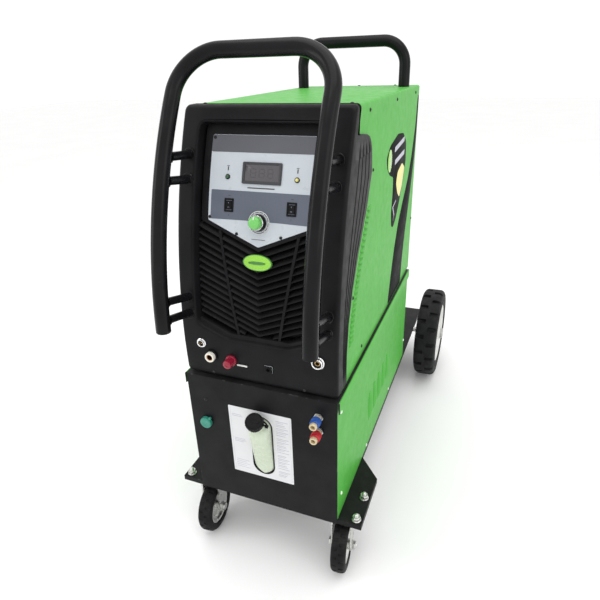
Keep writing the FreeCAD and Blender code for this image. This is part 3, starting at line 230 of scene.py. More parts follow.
def block(low, high, edge):
    """A box with rounded edges."""
    bm = bmesh.new()
    bmesh.ops.create_cube(bm, size=1)
    low, high = Vector(low), Vector(high)
    for vert in bm.verts:
        vert.co = Vector((low[i] + (high[i] - low[i]) * (vert.co[i] + 0.5) for i in range(3)))
    bmesh.ops.bevel(bm, geom=bm.edges[:], offset=edge, segments=2, profile=0.5, affect="EDGES")
    bm.verts.index_update()
    shape = [v.co.copy() for v in bm.verts], [[v.index for v in f.verts] for f in bm.faces]
    bm.free()
    return shape


def inset(outline, distance):
    """Move every point of a flat anticlockwise outline inward."""
    result = []
    count = len(outline)
    for k in range(count):
        along = Vector(outline[(k + 1) % count]) - Vector(outline[k - 1])
        inward = Vector((-along.y, along.x)).normalized()
        result.append(Vector(outline[k]) + inward * distance)
    return result


def plaque(outline, height, edge=0.3, base=0.0):
    """A flat plate from an anticlockwise outline, with a rounded upper rim, in local XY."""
    steps = ((0, base), (0, height - edge), (edge * 0.3, height - edge * 0.3), (edge, height))
    return loft(stacked(*[(inset(outline, inward), z) for inward, z in steps]), True)


def oval(rx, ry, count, centre=(0, 0)):
    return [Vector((centre[0] + rx * math.cos(angle), centre[1] + ry * math.sin(angle)))
        for angle in around(count)]


def rectangle(x0, x1, y0, y1, corner=1.0):
    return soften([(x0, y0), (x1, y0), (x1, y1), (x0, y1)], corner)


def hex_nut(flats, height, bore, matrix):
    """Chamfered hexagon nut, or a bolt head when bore is 0."""
    angles = around(48)
    flat = flats / 2

    def hexagon(limit):
        return lambda angle: min(flat / math.cos((angle % (math.pi / 3)) - math.pi / 6), flat * limit)

    rings = [circle(hexagon(limit), z, angles) for z, limit in ((0, 0.97), (height * 0.13, 1.2),
        (height * 0.87, 1.2), (height, 0.97))]
    hole = ((bore + 0.8, height), (bore, height - 0.8), (bore, 0)) if bore else ((0.01, height),)
    rings += [circle(radius, z, angles) for radius, z in hole]
    if bore:
        rings.append(rings[0])
    return moved(loft(rings), matrix)


def pan_screw(radius, matrix, height=None):
    """Domed screw head with a pressed cross."""
    height = height or radius * 0.62
    rings = []
    for part in (0.0, 0.14, 0.24, 0.5, 0.56, 0.8, 0.95, 1.0):
        ring = []
        for angle in around(32):
            arm = min(abs(math.sin(angle)), abs(math.cos(angle))) * part < 0.12
            z = height * math.sqrt(max(0.0, 1 - (part * 0.94) ** 2.4))
            if part < 0.53 and arm:
                z -= height * 0.45
            ring.append((part * radius * math.cos(angle), part * radius * math.sin(angle), z))
        rings.append(ring)
    rings.append([(p[0], p[1], 0) for p in rings[-1]])
    return moved(loft(rings), matrix)


def tube_along(path, radius, turns, wall=0.0):
    """A round tube along a list of points; a wall leaves its ends open."""
    rings = []
    up = Vector((1, 0, 0))
    count = len(path)
    frames = []
    for k in range(count):
        along = (Vector(path[min(k + 1, count - 1)]) - Vector(path[max(k - 1, 0)])).normalized()
        side = up - along * up.dot(along)
        if side.length < 0.2:
            side = Vector((0, 1, 0)) - along * along.y
        side.normalize()
        if frames and side.dot(frames[-1][0]) < 0:
            side = -side
        frames.append((side, along.cross(side)))
        up = side
    for size in (radius - wall, radius) if wall else (radius,):
        for k in range(count) if size == radius else reversed(range(count)):
            side, other = frames[k]
            rings.append([Vector(path[k]) + side * (size * math.cos(t)) + other * (size * math.sin(t))
                for t in around(turns)])
    if wall:
        rings.append(rings[0])
    return loft(rings, not wall)


def arc_points(centre, start, turn_axis, degrees, steps):
    centre, arm = Vector(centre), Vector(start) - Vector(centre)
    return [centre + Matrix.Rotation(math.radians(degrees * k / steps), 3, Vector(turn_axis)) @ arm
        for k in range(steps + 1)]


def bent_plate(outline, depth, thickness, edge):
    """A thin plate that follows the front's curve; outline is anticlockwise in (x, z)."""
    bm = bmesh.new()
    verts = [bm.verts.new((p[0], 0, p[1])) for p in outline]
    bm.faces.new(verts)
    low = min(p[1] for p in outline)
    high = max(p[1] for p in outline)
    z = low + CELL
    while z < high - 1:
        geometry = bm.verts[:] + bm.edges[:] + bm.faces[:]
        bmesh.ops.bisect_plane(bm, geom=geometry, plane_co=(0, 0, z), plane_no=(0, 0, 1))
        z += CELL
    rim = {v for e in bm.edges if e.is_boundary for v in e.verts}
    top = {v: bm.verts.new((v.co.x, 1, v.co.z)) for v in bm.verts[:]}
    centre = sum((Vector(p) for p in outline), Vector((0, 0))) / len(outline)
    faces = bm.faces[:]
    edges = [e for e in bm.edges if e.is_boundary]
    for face in faces:
        bm.faces.new([top[v] for v in face.verts])
    for e in edges:
        a, b = e.verts
        bm.faces.new([a, b, top[b], top[a]])
    inner = {top[v] for v in rim}
    bm.verts.index_update()
    points = []
    for v in bm.verts:
        x, lift, z = v.co
        if v in inner and edge:
            pull = Vector((x, z)) - centre
            if pull.length > edge:
                x -= math.copysign(min(edge, abs(pull.x)), pull.x)
                z -= math.copysign(min(edge, abs(pull.y)), pull.y)
        points.append(on_front(x, z, depth - thickness * lift))
    result = points, [[v.index for v in f.verts] for f in bm.faces]
    bm.free()
    return result


def piece(name, shape, finish, slot=None, body="frame", replaces=(), sharp=38.0):
    """Make an object of a shape, smooth apart from its sharp edges, and let it ride on a body."""
    slot = slot or finish
    mesh = bpy.data.meshes.new(name)
    bm = bmesh.new()
    verts = [bm.verts.new(at(*p)) for p in shape[0]]
    bm.verts.index_update()
    for face in shape[1]:
        corners = [verts[i] for i in dict.fromkeys(face)]
        if len(corners) > 2:
            try:
                bm.faces.new(corners)
            except ValueError:
                continue
    bmesh.ops.remove_doubles(bm, verts=bm.verts[:], dist=1e-6)
    bmesh.ops.dissolve_degenerate(bm, edges=bm.edges[:], dist=1e-7)
    bmesh.ops.recalc_face_normals(bm, faces=bm.faces[:])
    for edge in bm.edges:
        edge.smooth = not edge.is_manifold or edge.calc_face_angle(0) < math.radians(sharp)
    for face in bm.faces:
        face.smooth = True
    bm.to_mesh(mesh)
    bm.free()
    mesh.materials.append(FINISHES[finish])
    obj = bpy.data.objects.new(name, mesh)
    bpy.context.scene.collection.objects.link(obj)
    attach(obj, body)
    if replaces:
        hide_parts(*replaces)


# --- materials
FINISHES = {}


def surface(name, color, rough, metallic=0.0, vary=0.08, vary_scale=18.0, rough_vary=0.08, grain=0.15,
        grain_scale=900.0, grain_depth=0.0001, bevel=0.0, wear=None, dust=0.0, coat=0.0, shine=0.5, ior=1.5,
        stretch=(1, 1, 1)):
    """Make a finish with uneven colour and gloss, a fine relief, worn edges and a little dust on top."""
    mat = FINISHES[name] = bpy.data.materials.new(name)
    mat.use_nodes = True
    nodes, links = mat.node_tree.nodes, mat.node_tree.links

    def fill(node, inputs):
        for socket, value in inputs.items():
            if isinstance(value, bpy.types.NodeSocket):
                links.new(value, node.inputs[socket])
            else:
                node.inputs[socket].default_value = value

    def add(kind, output, inputs, **settings):
        node = nodes.new("ShaderNode" + kind)
        for key, value in settings.items():
            setattr(node, key, value)
        fill(node, inputs)
        return node.outputs[output]

    place = add("Mapping", "Vector", {"Vector": add("TexCoord", "Object", {}), "Scale": stretch})

    def noise(scale, detail=4.0):
        return add("TexNoise", "Fac", {"Vector": place, "Scale": scale, "Detail": detail})

    def remap(source, low, high, to_low, to_high):
        return add("MapRange", "Result", {"Value": source, "From Min": low, "From Max": high,
            "To Min": to_low, "To Max": to_high})

    def mix(factor, first, second):
        return add("Mix", 2, {"Factor": factor, 6: first, 7: second}, data_type="RGBA")

    def times(first, second):
        return add("Math", 0, {0: first, 1: second}, operation="MULTIPLY")

    def rounded(radius):
        return add("Bevel", "Normal", {"Radius": radius}, samples=4)

    outer_normal = add("NewGeometry", "Normal", {})
    dark = [c * (1 - vary) for c in color] + [1]
    light = [min(1.0, c * (1 + vary) + vary * 0.01) for c in color] + [1]
    tone = mix(remap(noise(vary_scale), 0.35, 0.65, 0, 1), dark, light)
    gloss = remap(noise(vary_scale * 3.1), 0.3, 0.7, rough - rough_vary / 2, rough + rough_vary)
    if wear:
        bend = add("VectorMath", "Value", {0: outer_normal, 1: rounded(0.0016)}, operation="DOT_PRODUCT")
        worn = times(remap(bend, 0.995, 0.88, 0, 1), remap(noise(70.0), 0.57, 0.70, 0, 0.5))
        tone = mix(worn, tone, (*wear, 1))
    if dust:
        level = add("SeparateXYZ", "Z", {0: outer_normal})
        amount = times(remap(level, 0.3, 1.0, 0, dust), remap(noise(40.0), 0.35, 0.7, 0.2, 1))
        tone = mix(amount, tone, (0.42, 0.40, 0.37, 1))
    relief = {"Strength": grain, "Distance": grain_depth, "Height": noise(grain_scale, 3.0)}
    if bevel:
        relief["Normal"] = rounded(bevel / 1000)
    fill(nodes["Principled BSDF"], {"Base Color": tone, "Roughness": gloss, "Normal": add("Bump", "Normal",
        relief), "Metallic": metallic, "Coat Weight": coat, "Coat Roughness": 0.12,
        "Specular IOR Level": shine, "IOR": ior})
    return mat


PAINT_WORN = (0.30, 0.31, 0.30)
surface("green_paint", (0.080, 0.385, 0.055), 0.40, vary=0.03, grain=0.22, grain_scale=650,
    grain_depth=0.00010, bevel=0.8, wear=(0.22, 0.40, 0.18), dust=0.02, shine=0.12)
surface("black_paint", (0.007, 0.007, 0.008), 0.40, vary=0.18, grain=0.3, grain_scale=700,
    grain_depth=0.00014, bevel=0.7, wear=PAINT_WORN, dust=0.02, shine=0.11)
surface("black_tube", (0.006, 0.006, 0.007), 0.20, vary=0.15, grain=0.10, grain_scale=420,
    grain_depth=0.00012, wear=PAINT_WORN, dust=0.012, shine=0.14)
surface("black_plastic", (0.007, 0.007, 0.008), 0.42, vary=0.12, grain=0.42, grain_scale=1500,
    grain_depth=0.00012, bevel=0.5, dust=0.012, shine=0.11)
surface("zinc", (0.60, 0.60, 0.58), 0.30, 1.0, vary=0.10, vary_scale=60, rough_vary=0.2, grain=0.15,
    grain_scale=500, bevel=0.4)
surface("chrome", (0.80, 0.80, 0.81), 0.10, 1.0, vary=0.03, rough_vary=0.08, grain=0.05)
surface("brass", (0.72, 0.50, 0.22), 0.28, 1.0, vary=0.10, vary_scale=90, grain=0.1, bevel=0.2)
surface("aluminium", (0.72, 0.72, 0.74), 0.38, 1.0, vary=0.05, grain=0.2, bevel=0.3)
surface("galvanised", (0.55, 0.57, 0.58), 0.42, 1.0, vary=0.16, vary_scale=45, grain=0.1)
surface("tyre", (0.010, 0.010, 0.011), 0.62, vary=0.22, vary_scale=30, rough_vary=0.16, grain=0.4,
    grain_scale=650, grain_depth=0.0002, dust=0.03, wear=(0.05, 0.05, 0.048), shine=0.16)
surface("castor_rubber", (0.008, 0.008, 0.008), 0.55, vary=0.2, vary_scale=40, grain=0.4, grain_scale=700,
    grain_depth=0.0002, dust=0.02, wear=(0.04, 0.04, 0.038), shine=0.12)
surface("rim_paint", (0.70, 0.70, 0.68), 0.35, vary=0.05, grain=0.2, grain_scale=600, dust=0.05,
    wear=(0.35, 0.34, 0.32))
surface("tank_plastic", (0.78, 0.78, 0.72), 0.5, vary=0.06, grain=0.3, bevel=0.5)
surface("motor_paint", (0.16, 0.17, 0.18), 0.45, vary=0.1, grain=0.3, bevel=0.5)
surface("core_steel", (0.20, 0.18, 0.16), 0.5, 0.6, vary=0.2, grain=0.4, grain_scale=2500, stretch=(1, 6, 1))
surface("board", (0.03, 0.20, 0.09), 0.35, vary=0.15, vary_scale=200, grain=0.2)
surface("black_screw", (0.03, 0.03, 0.03), 0.35, 0.7, vary=0.2, vary_scale=200, grain=0.1,
    wear=(0.25, 0.25, 0.25))
surface("panel_face", (0.50, 0.54, 0.58), 0.30, vary=0.02, grain=0.2, grain_scale=1200, grain_depth=0.00005)
surface("display_glass", (0.062, 0.056, 0.064), 0.12, vary=0.06, grain=0.04, coat=0.6)
surface("green_plastic", (0.16, 0.56, 0.12), 0.24, vary=0.06, grain=0.1, coat=0.3)
surface("teal_plastic", (0.025, 0.24, 0.17), 0.36, vary=0.07, vary_scale=80, grain=0.2)
for name, color in (("blue_plastic", (0.012, 0.075, 0.33)), ("red_plastic", (0.46, 0.012, 0.020))):
    surface(name, color, 0.28, vary=0.08, vary_scale=80, grain=0.15)
surface("badge_plastic", (0.26, 0.60, 0.04), 0.22, vary=0.04, grain=0.05, coat=0.5)
surface("lamp_plastic", (0.80, 0.74, 0.24), 0.2, vary=0.06, grain=0.05, coat=0.4)
surface("clear_plastic", (0.54, 0.61, 0.48), 0.24, vary=0.03, vary_scale=30, grain=0.02, grain_scale=420,
    grain_depth=0.00002, ior=1.45)
for name, color in (("print_header", (0.088, 0.090, 0.104)), ("print_field", (0.095, 0.11, 0.145))):
    surface(name, color, 0.34, vary=0.03, grain=0.2, grain_scale=1200, grain_depth=0.00005)
surface("display_bezel", (0.045, 0.046, 0.05), 0.30, vary=0.05, grain=0.2, grain_scale=1200, shine=0.3)
surface("display_segment", (0.053, 0.047, 0.055), 0.3, vary=0.05, grain=0.05)
surface("terminal_red", (0.27, 0.008, 0.030), 0.30, vary=0.08, vary_scale=80, grain=0.15)
surface("badge_edge", (0.05, 0.20, 0.03), 0.26, vary=0.06, grain=0.05, coat=0.3)
surface("print_dial", (0.17, 0.19, 0.22), 0.34, vary=0.04, grain=0.1)
surface("print_ink", (0.035, 0.035, 0.04), 0.4, vary=0.1, grain=0.1)
surface("print_faint", (0.45, 0.45, 0.52), 0.5, vary=0.1, grain=0.1)
surface("print_label", (0.66, 0.67, 0.68), 0.38, vary=0.03, grain=0.15, grain_scale=800, grain_depth=0.00005)
surface("print_white", (0.85, 0.86, 0.82), 0.32, vary=0.03, grain=0.1)
surface("print_black", (0.006, 0.006, 0.007), 0.55, vary=0.12, grain=0.12, grain_scale=500, shine=0.04)
surface("print_cream", (0.60, 0.50, 0.31), 0.32, 0.2, vary=0.06, vary_scale=70, grain=0.1)
surface("print_ivory", (0.80, 0.79, 0.70), 0.32, vary=0.03, grain=0.1)
surface("copper", (0.66, 0.33, 0.16), 0.25, 1.0, vary=0.10, vary_scale=90, grain=0.1)
surface("print_pale_yellow", (0.80, 0.74, 0.28), 0.34, vary=0.05, grain=0.1)
surface("green_lamp", (0.02, 0.10, 0.04), 0.2, vary=0.1, grain=0.05, coat=0.4)
surface("coolant", (0.42, 0.62, 0.30), 0.25, vary=0.06, vary_scale=60, grain=0.1, coat=0.3)
# Near-black, rough finish of the sheet behind the louvres: painted shade for the dark opening.
surface("painted_shade_black", (0.004, 0.004, 0.005), 0.8, vary=0.2, grain=0.3)


def paint_frame():
    """Give every CAD node the finish of its material slot."""
    slots = {part["node"]: part["material_slot"] for part in frame["record"]["subparts"]}
    for name, node in frame["nodes"].items():
        node.data.materials.clear()
        node.data.materials.append(FINISHES[slots[name]])


# --- camera, light and floor
CAMERA_AT = (405.6, -754.2, 1069.2)
CAMERA_YAW = math.radians(22.21)
CAMERA_DOWN = math.radians(25.30)
CAMERA_ROLL = math.radians(-1.95)
CAMERA_LENS = 30.49
FLOOR_HALF = 14.0


def make_camera():
    ahead = Vector((-math.sin(CAMERA_YAW) * math.cos(CAMERA_DOWN),
        math.cos(CAMERA_YAW) * math.cos(CAMERA_DOWN), -math.sin(CAMERA_DOWN)))
    right = Vector((math.cos(CAMERA_YAW), math.sin(CAMERA_YAW), 0))
    up = right.cross(ahead)
    across = right * math.cos(CAMERA_ROLL) + up * math.sin(CAMERA_ROLL)
    over = up * math.cos(CAMERA_ROLL) - right * math.sin(CAMERA_ROLL)
    camera = bpy.data.objects.new("camera", bpy.data.cameras.new("camera"))
    bpy.context.scene.collection.objects.link(camera)
    turn = Matrix((across, over, -ahead)).transposed().to_4x4()
    camera.matrix_world = Matrix.Translation(at(*CAMERA_AT)) @ turn
    camera.data.lens = CAMERA_LENS
    camera.data.sensor_width = 36
    camera.data.clip_start = 0.01
    bpy.context.scene.camera = camera


def softbox(name, place, size, power):
    light = bpy.data.objects.new(name, bpy.data.lights.new(name, "AREA"))
    bpy.context.scene.collection.objects.link(light)
    light.data.shape = "RECTANGLE"
    light.data.size, light.data.size_y = size
    light.data.energy = power
    way = Vector((0, 0, 0.55)) - Vector(place)
    light.location = place
    light.rotation_euler = way.to_track_quat("-Z", "Y").to_euler()


def make_stage():
    world = bpy.data.worlds.new("studio")
    bpy.context.scene.world = world
    world.use_nodes = True
    sky = world.node_tree.nodes["Background"]
    sky.inputs["Color"].default_value = (1.0, 1.0, 1.0, 1)
    sky.inputs["Strength"].default_value = 1.06
    bpy.context.scene.view_settings.view_transform = "Standard"
    softbox("overhead", (0.2, -0.4, 3.0), (2.4, 2.4), 30)
    softbox("left_strip", (-2.2, -1.8, 1.5), (0.8, 2.2), 14)
    softbox("right_fill", (2.6, -1.0, 1.6), (1.6, 1.8), 10)
    floor = bpy.data.objects.new("floor", bpy.data.meshes.new("floor"))
    corners = [(x * FLOOR_HALF, y * FLOOR_HALF, 0) for x, y in ((-1, -1), (1, -1), (1, 1), (-1, 1))]
    floor.data.from_pydata(corners, [], [(0, 1, 2, 3)])
    bpy.context.scene.collection.objects.link(floor)
    floor.data.materials.append(surface("floor", (0.93, 0.93, 0.925), 0.7, vary=0.01, vary_scale=2,
        grain=0.05))


# --- moulded front
EAR = [(56, 478), (61, 486), (63, 545), (74, 610), (98, 671), (137, 735), (190, 806), (222, 866), (222, 890),
    (219, 912), (212, 926), (198, 938), (179, 944), (150, 948), (COVER_FRONT, 951), (COVER_FRONT, 1000)]
GROOVES = 4
GROOVE_WIDE = 3.2
GROOVE_DEEP = 2.6
GROOVE_LOW = 492.0
GROOVE_HIGH = 934.0
GROOVE_STEP = 0.19
OUTER_CORNER = 9.0
WINDOW_CORNER = 12.0
HUB_Z = 770.0
RIB_X = 47.0
RIB_Z = 597.0
RIB_LEAN = 31 / 174
LOUVRE_ROWS = 14


def profile_y(points, z):
    """Y at height z on a rising run of (y, z) points."""
    for (y0, z0), (y1, z1) in zip(points, points[1:]):
        if z <= z1:
            return y0 + (y1 - y0) * max(0.0, z - z0) / (z1 - z0)
    return points[-1][0]


def levels(low, high, step, extra=()):
    count = max(1, round((high - low) / step))
    return sorted({low + (high - low) * k / count for k in range(count + 1)} | {z for z in extra
        if low < z < high})


def front_outline():
    """The front's outer edge, anticlockwise from the lower left corner, in (x, z)."""
    sides = levels(FRONT_BOTTOM + OUTER_CORNER, FRONT_TOP - OUTER_CORNER, 7.0, [p[1] for p in EAR])
    flats = levels(-FRONT_HALF + OUTER_CORNER, FRONT_HALF - OUTER_CORNER, 8.0)
    corner = [(OUTER_CORNER * (1 - math.sin(math.pi * k / 12)),
        OUTER_CORNER * (1 - math.cos(math.pi * k / 12))) for k in range(1, 6)]
    outline = [(x, FRONT_BOTTOM) for x in flats]
    outline += [(FRONT_HALF - dx, FRONT_BOTTOM + dz) for dx, dz in corner]
    outline += [(FRONT_HALF, z) for z in sides]
    outline += [(FRONT_HALF - dz, FRONT_TOP - dx) for dx, dz in corner]
    outline += [(x, FRONT_TOP) for x in reversed(flats)]
    outline += [(-FRONT_HALF + dx, FRONT_TOP - dz) for dx, dz in corner]
    outline += [(-FRONT_HALF, z) for z in reversed(sides)]
    outline += [(-FRONT_HALF + dz, FRONT_BOTTOM + dx) for dx, dz in corner]
    return outline


def ray_hit(loop, way, centre):
    """Where a ray from a point inside crosses a closed loop of points."""
    count = len(loop)
    for k in range(count):
        a, b = Vector(loop[k]) - centre, Vector(loop[(k + 1) % count]) - centre
        edge = b - a
        cross = way.x * edge.y - way.y * edge.x
        if abs(cross) < 1e-9:
            continue
        along = (a.x * edge.y - a.y * edge.x) / cross
        part = (a.x * way.y - a.y * way.x) / cross
        if along > 0 and -1e-6 <= part <= 1 + 1e-6:
            return centre + way * along
    raise ValueError("the loop must enclose the centre")


def bezel_shape():
    """One skin: back edge, grooved sides, rounded rim, sloping window wall and deep pan."""
    outline = front_outline()
    window = soften(WINDOW, WINDOW_CORNER, steps=5)
    hub = Vector((0, HUB_Z))
    inner = [ray_hit(window, (Vector(p) - hub).normalized(), hub) for p in outline]

    def side_ring(position):
        """position(back, front) gives Y, and how far the skin is pressed in there."""
        ring = []
        for x, z in outline:
            side = abs(x) > FRONT_HALF - 0.01
            back = profile_y(EAR, z) if side else (COVER_FRONT if z > HUB_Z else EAR[0][0])
            if not side and min(abs(z - FRONT_TOP), abs(z - FRONT_BOTTOM)) > 0.01:
                back = profile_y(EAR, z)
            y, press = position(back, front_y(z, RIM_DEPTH))
            press *= min(1.0, max(0.0, (z - GROOVE_LOW) / 40),
                max(0.0, (GROOVE_HIGH - z) / 26)) if side else 0.0
            ring.append(Vector((x - math.copysign(press, x) if side else x, y, z)))
        return ring

    def groove_ring(share, shift_y, press):
        return side_ring(lambda back, front: (back - (back - front) * share + shift_y, press))

    rings = [[Vector((p.x - math.copysign(min(3.4, abs(p.x)), p.x), p.y, p.z))
        for p in side_ring(lambda back, front: (back, 0.0))]]
    rings.append(side_ring(lambda back, front: (back, 1.2)))
    rings.append(side_ring(lambda back, front: (back - 1.5, 0.0)))
    for groove in range(1, GROOVES + 1):
        for along, press in ((1.0, 0.0), (0.55, 0.75), (0.0, 1.0), (-0.55, 0.75), (-1.0, 0.0)):
            rings.append(groove_ring(groove * GROOVE_STEP, along * GROOVE_WIDE, press * GROOVE_DEEP))
    rings.append(side_ring(lambda back, front: (front, 0.0)))

    def rim_ring(depth, place):
        """place(start, hit) gives the point on the way from the outline to the window."""
        points = [place(Vector(p), hit) for p, hit in zip(outline, inner)]
        return [on_front(p.x, p.y, depth) for p in points]

    for step in range(7):
        turn = math.pi / 2 * step / 6
        inward = RIM_ROUND * (1 - math.cos(turn))
        rings.append(rim_ring(RIM_ROUND * (1 - math.sin(turn)), lambda start, hit: start
            + (hit - start).normalized() * inward))
    for share in (0.2, 0.4, 0.6, 0.78):
        rings.append(rim_ring(0.0, lambda start, hit: start + (hit - start).normalized() * 2
            + (hit - start) * share))
    for away, depth in ((6.0, 0.0), (3.0, 0.5), (1.2, 2.0), (0.0, 5.0), (-3.0, 14.0), (-4.0, 20.0),
            (-4.5, PAN_DEPTH)):
        rings.append(rim_ring(depth, lambda start, hit: hit + (start - hit).normalized() * away))
    return loft(rings)


def louvre_rib_x(z):
    """The ribs between the louvres' columns lean inward towards the bottom."""
    return RIB_X + (z - RIB_Z) * RIB_LEAN


def window_floor(x):
    slope = (WINDOW_SHOULDER - WINDOW_LOW) / (WINDOW_HALF - WINDOW_FLAT)
    return WINDOW_LOW + max(0.0, abs(x) - WINDOW_FLAT) * slope


def louvre_blades():
    """Sloping slats that meet in a V and lean back as they rise."""
    section = [(15.0, -4.2), (13.9, -3.4), (13.6, -2.2), (14.4, -1.2), (31.0, 6.6), (32.0, 5.2),
        (17.0, -3.0)]
    shapes = []
    for row in range(1, LOUVRE_ROWS + 1):
        tip = PANEL_TIP - 4 - row * LOUVRE_PITCH
        run = []
        for x in [*range(-126, 127, 6), None]:
            z = None if x is None else tip + V_SLOPE * abs(x)
            if z is not None and z > window_floor(x) + 10:
                run.append([on_front(x, z + lift, depth) for depth, lift in section])
                continue
            if len(run) > 1:
                shapes.append(loft(run, True))
            run = []
    return merge(*shapes)


def louvre_ribs():
    """Upright ribs that carry the slats, and the ledge along the window's bottom."""
    rings = []
    for z in levels(577, 782, 12.0):
        x = louvre_rib_x(z)
        rings.append([on_front(x - 4.5, z, 30), on_front(x - 2.7, z, 13.2), on_front(x + 2.7, z, 13.2),
            on_front(x + 4.5, z, 30)])
    shapes = [both_sides(loft(rings, True))]
    path = []
    for x in range(-128, 129, 8):
        z = window_floor(x)
        path.append([on_front(x, z + 9, 30), on_front(x, z + 8, 12.0), on_front(x, z + 6.6, 10.5),
            on_front(x, z - 2, 8.0), on_front(x, z - 3, 30)])
    shapes.append(loft(path, True))
    return merge(*shapes)


def panel_seat():
    """Raised field that the control panel is screwed to."""
    half = PANEL_HALF + 16
    tip = PANEL_TIP - 9
    outline = [(-half, tip + V_SLOPE * half), (0, tip), (half, tip + V_SLOPE * half), (half, 972),
        (-half, 972)]
    return bent_plate(soften(outline, 4.0), PAN_DEPTH, PAN_DEPTH - RECESS, 1.0)


def make_front():
    piece("front_moulding", bezel_shape(), "black_plastic", replaces=["front_bezel"], sharp=50)
    piece("louvre_blades", louvre_blades(), "black_plastic")
    piece("louvre_ribs", louvre_ribs(), "black_plastic")
    piece("panel_seat", panel_seat(), "black_plastic")
    # A near-black sheet closes the window behind the slats: painted shade standing for the dark opening
    # behind the louvres.
    pan = bent_plate(soften(WINDOW, WINDOW_CORNER), PAN_DEPTH + 1, 1.0, 0)
    piece("louvre_shade_sheet", pan, "painted_shade_black", "black_plastic")


# --- control panel
FILM = 0.35
HEADER_LOW = 920.0
WHITE_LOW = 855.0
FIELD_LOW = 812.0
DISPLAY_Z = 886.0
LAMP_X = 69.0
LAMP_Z = 878.0
ROCKER_X = 63.0
ROCKER_Z = 829.0
KNOB_Z = 802.0
BADGE_Z = 730.0
PANEL_SCREWS = [(-102, 944), (102, 944), (-103, 806), (103, 806), (-45, 779), (45, 779)]


def v_edge(x, clearance=0.0):
    return PANEL_TIP + clearance + V_SLOPE * abs(x)


def panel_print(name, outline, ink):
    """A printed area of the panel's film, a hair above the plate."""
    shape = bent_plate(outline, RECESS - PANEL_T + 0.02, FILM + 0.02, 0)
    piece(name, shape, ink, "panel_face")


def make_panel():
    half = PANEL_HALF
    edge = half - 0.5
    plate = soften([(-half, v_edge(half)), (0, PANEL_TIP), (half, v_edge(half)), (half, PANEL_TOP),
        (-half, PANEL_TOP)], 3.5)
    piece("panel_plate", bent_plate(plate, RECESS, PANEL_T, 0.5), "panel_face", replaces=["control_panel"])
    header = soften([(-edge, HEADER_LOW), (edge, HEADER_LOW), (edge, PANEL_TOP - 0.5),
        (-edge, PANEL_TOP - 0.5)], 3)
    panel_print("panel_header", header, "print_header")
    inner = half - 5.5
    slope = V_SLOPE * inner
    field = soften([(-inner, PANEL_TIP + 5 + slope), (-40, FIELD_LOW - 8), (-18, FIELD_LOW - 8),
        (18, FIELD_LOW - 8), (40, FIELD_LOW - 8), (inner, PANEL_TIP + 5 + slope), (inner, WHITE_LOW),
        (-inner, WHITE_LOW)], 2)
    panel_print("panel_field", field, "print_field")
    marks = []

    def mark(x0, x1, z0, z1):
        marks.append(bent_plate([(x0, z0), (x1, z0), (x1, z1), (x0, z1)], RECESS - PANEL_T - FILM + 0.1,
            0.12, 0))

    mark(-27, 27, 860.2, 862.0)
    for x in (-LAMP_X, LAMP_X):
        mark(x - 1.0, x + 1.0, 889, 895.5)
        mark(x - 2.6, x + 2.6, 896.5, 897.4)
    for x in (-ROCKER_X, ROCKER_X):
        mark(x - 2.2, x + 2.2, ROCKER_Z + 16.5, ROCKER_Z + 17.6)
        mark(x - 0.5, x + 0.5, ROCKER_Z - 19, ROCKER_Z - 16)
    mark(-14, 14, 771.5, 772.3)
    piece("panel_marks", merge(*marks), "print_ink", "panel_face")
    top = RECESS - PANEL_T - FILM
    screws = [pan_screw(2.9, panel_matrix(x, z, top)) for x, z in PANEL_SCREWS]
    piece("panel_screws", merge(*screws), "black_screw")


def make_display():
    """Digital meter: a bevelled frame, a dark window and faint digit segments."""
    base = panel_matrix(0, DISPLAY_Z)
    outer = rectangle(-39, 39, -19.5, 19.5, 3.0)
    pane = rectangle(-34, 34, -14.5, 15.5, 1.5)
    rings = stacked((outer, 0.0), (outer, 2.0), (inset(outer, 0.8), 2.8), (inset(pane, -1.4), 3.0),
        (pane, 2.2), (inset(pane, 0.2), 0.8))
    piece("display_frame", moved(loft(rings), base), "display_bezel", "display_glass",
        replaces=["display_window"])
    piece("display_pane", moved(plaque(rectangle(-33.9, 33.9, -14.4, 15.4, 1.4), 1.4, 0.2), base),
        "display_glass")
    flat_bars = [(-4.5, 4.5, y - 0.6, y + 0.6) for y in (7.6, 0, -7.6)]
    upright_bars = [(x - 0.6, x + 0.6, y - 2.8, y + 2.8) for y in (3.8, -3.8) for x in (-5, 5)]
    digits = [plaque(rectangle(place + x0, place + x1, y0, y1, 0.4), 1.5, 0.05, 1.3)
        for place in (-17, 0, 17) for x0, x1, y0, y1 in flat_bars + upright_bars]
    piece("display_segments", moved(merge(*digits), base), "display_segment", "display_glass")


def make_lamps():
    places = [panel_matrix(sign * LAMP_X, LAMP_Z) for _, sign in SIDES]
    collars = [lathe([(4.9, 0), (4.9, 0.9), (4.3, 1.4), (3.4, 1.4), (3.2, 0.6), (3.2, 0)], base, 32)
        for base in places]
    piece("lamp_collars", merge(*collars), "black_plastic", "lamp_plastic", replaces=["indicator_lamps"])
    for base, side, finish in zip(places, ("left", "right"), ("green_lamp", "lamp_plastic")):
        lens = lathe([(3.2, 0), (3.2, 1.6), (2.9, 2.8), (2.1, 3.9), (1.1, 4.5), (0, 4.7)], base, 32)
        piece("lamp_lens_" + side, lens, finish, "lamp_plastic")


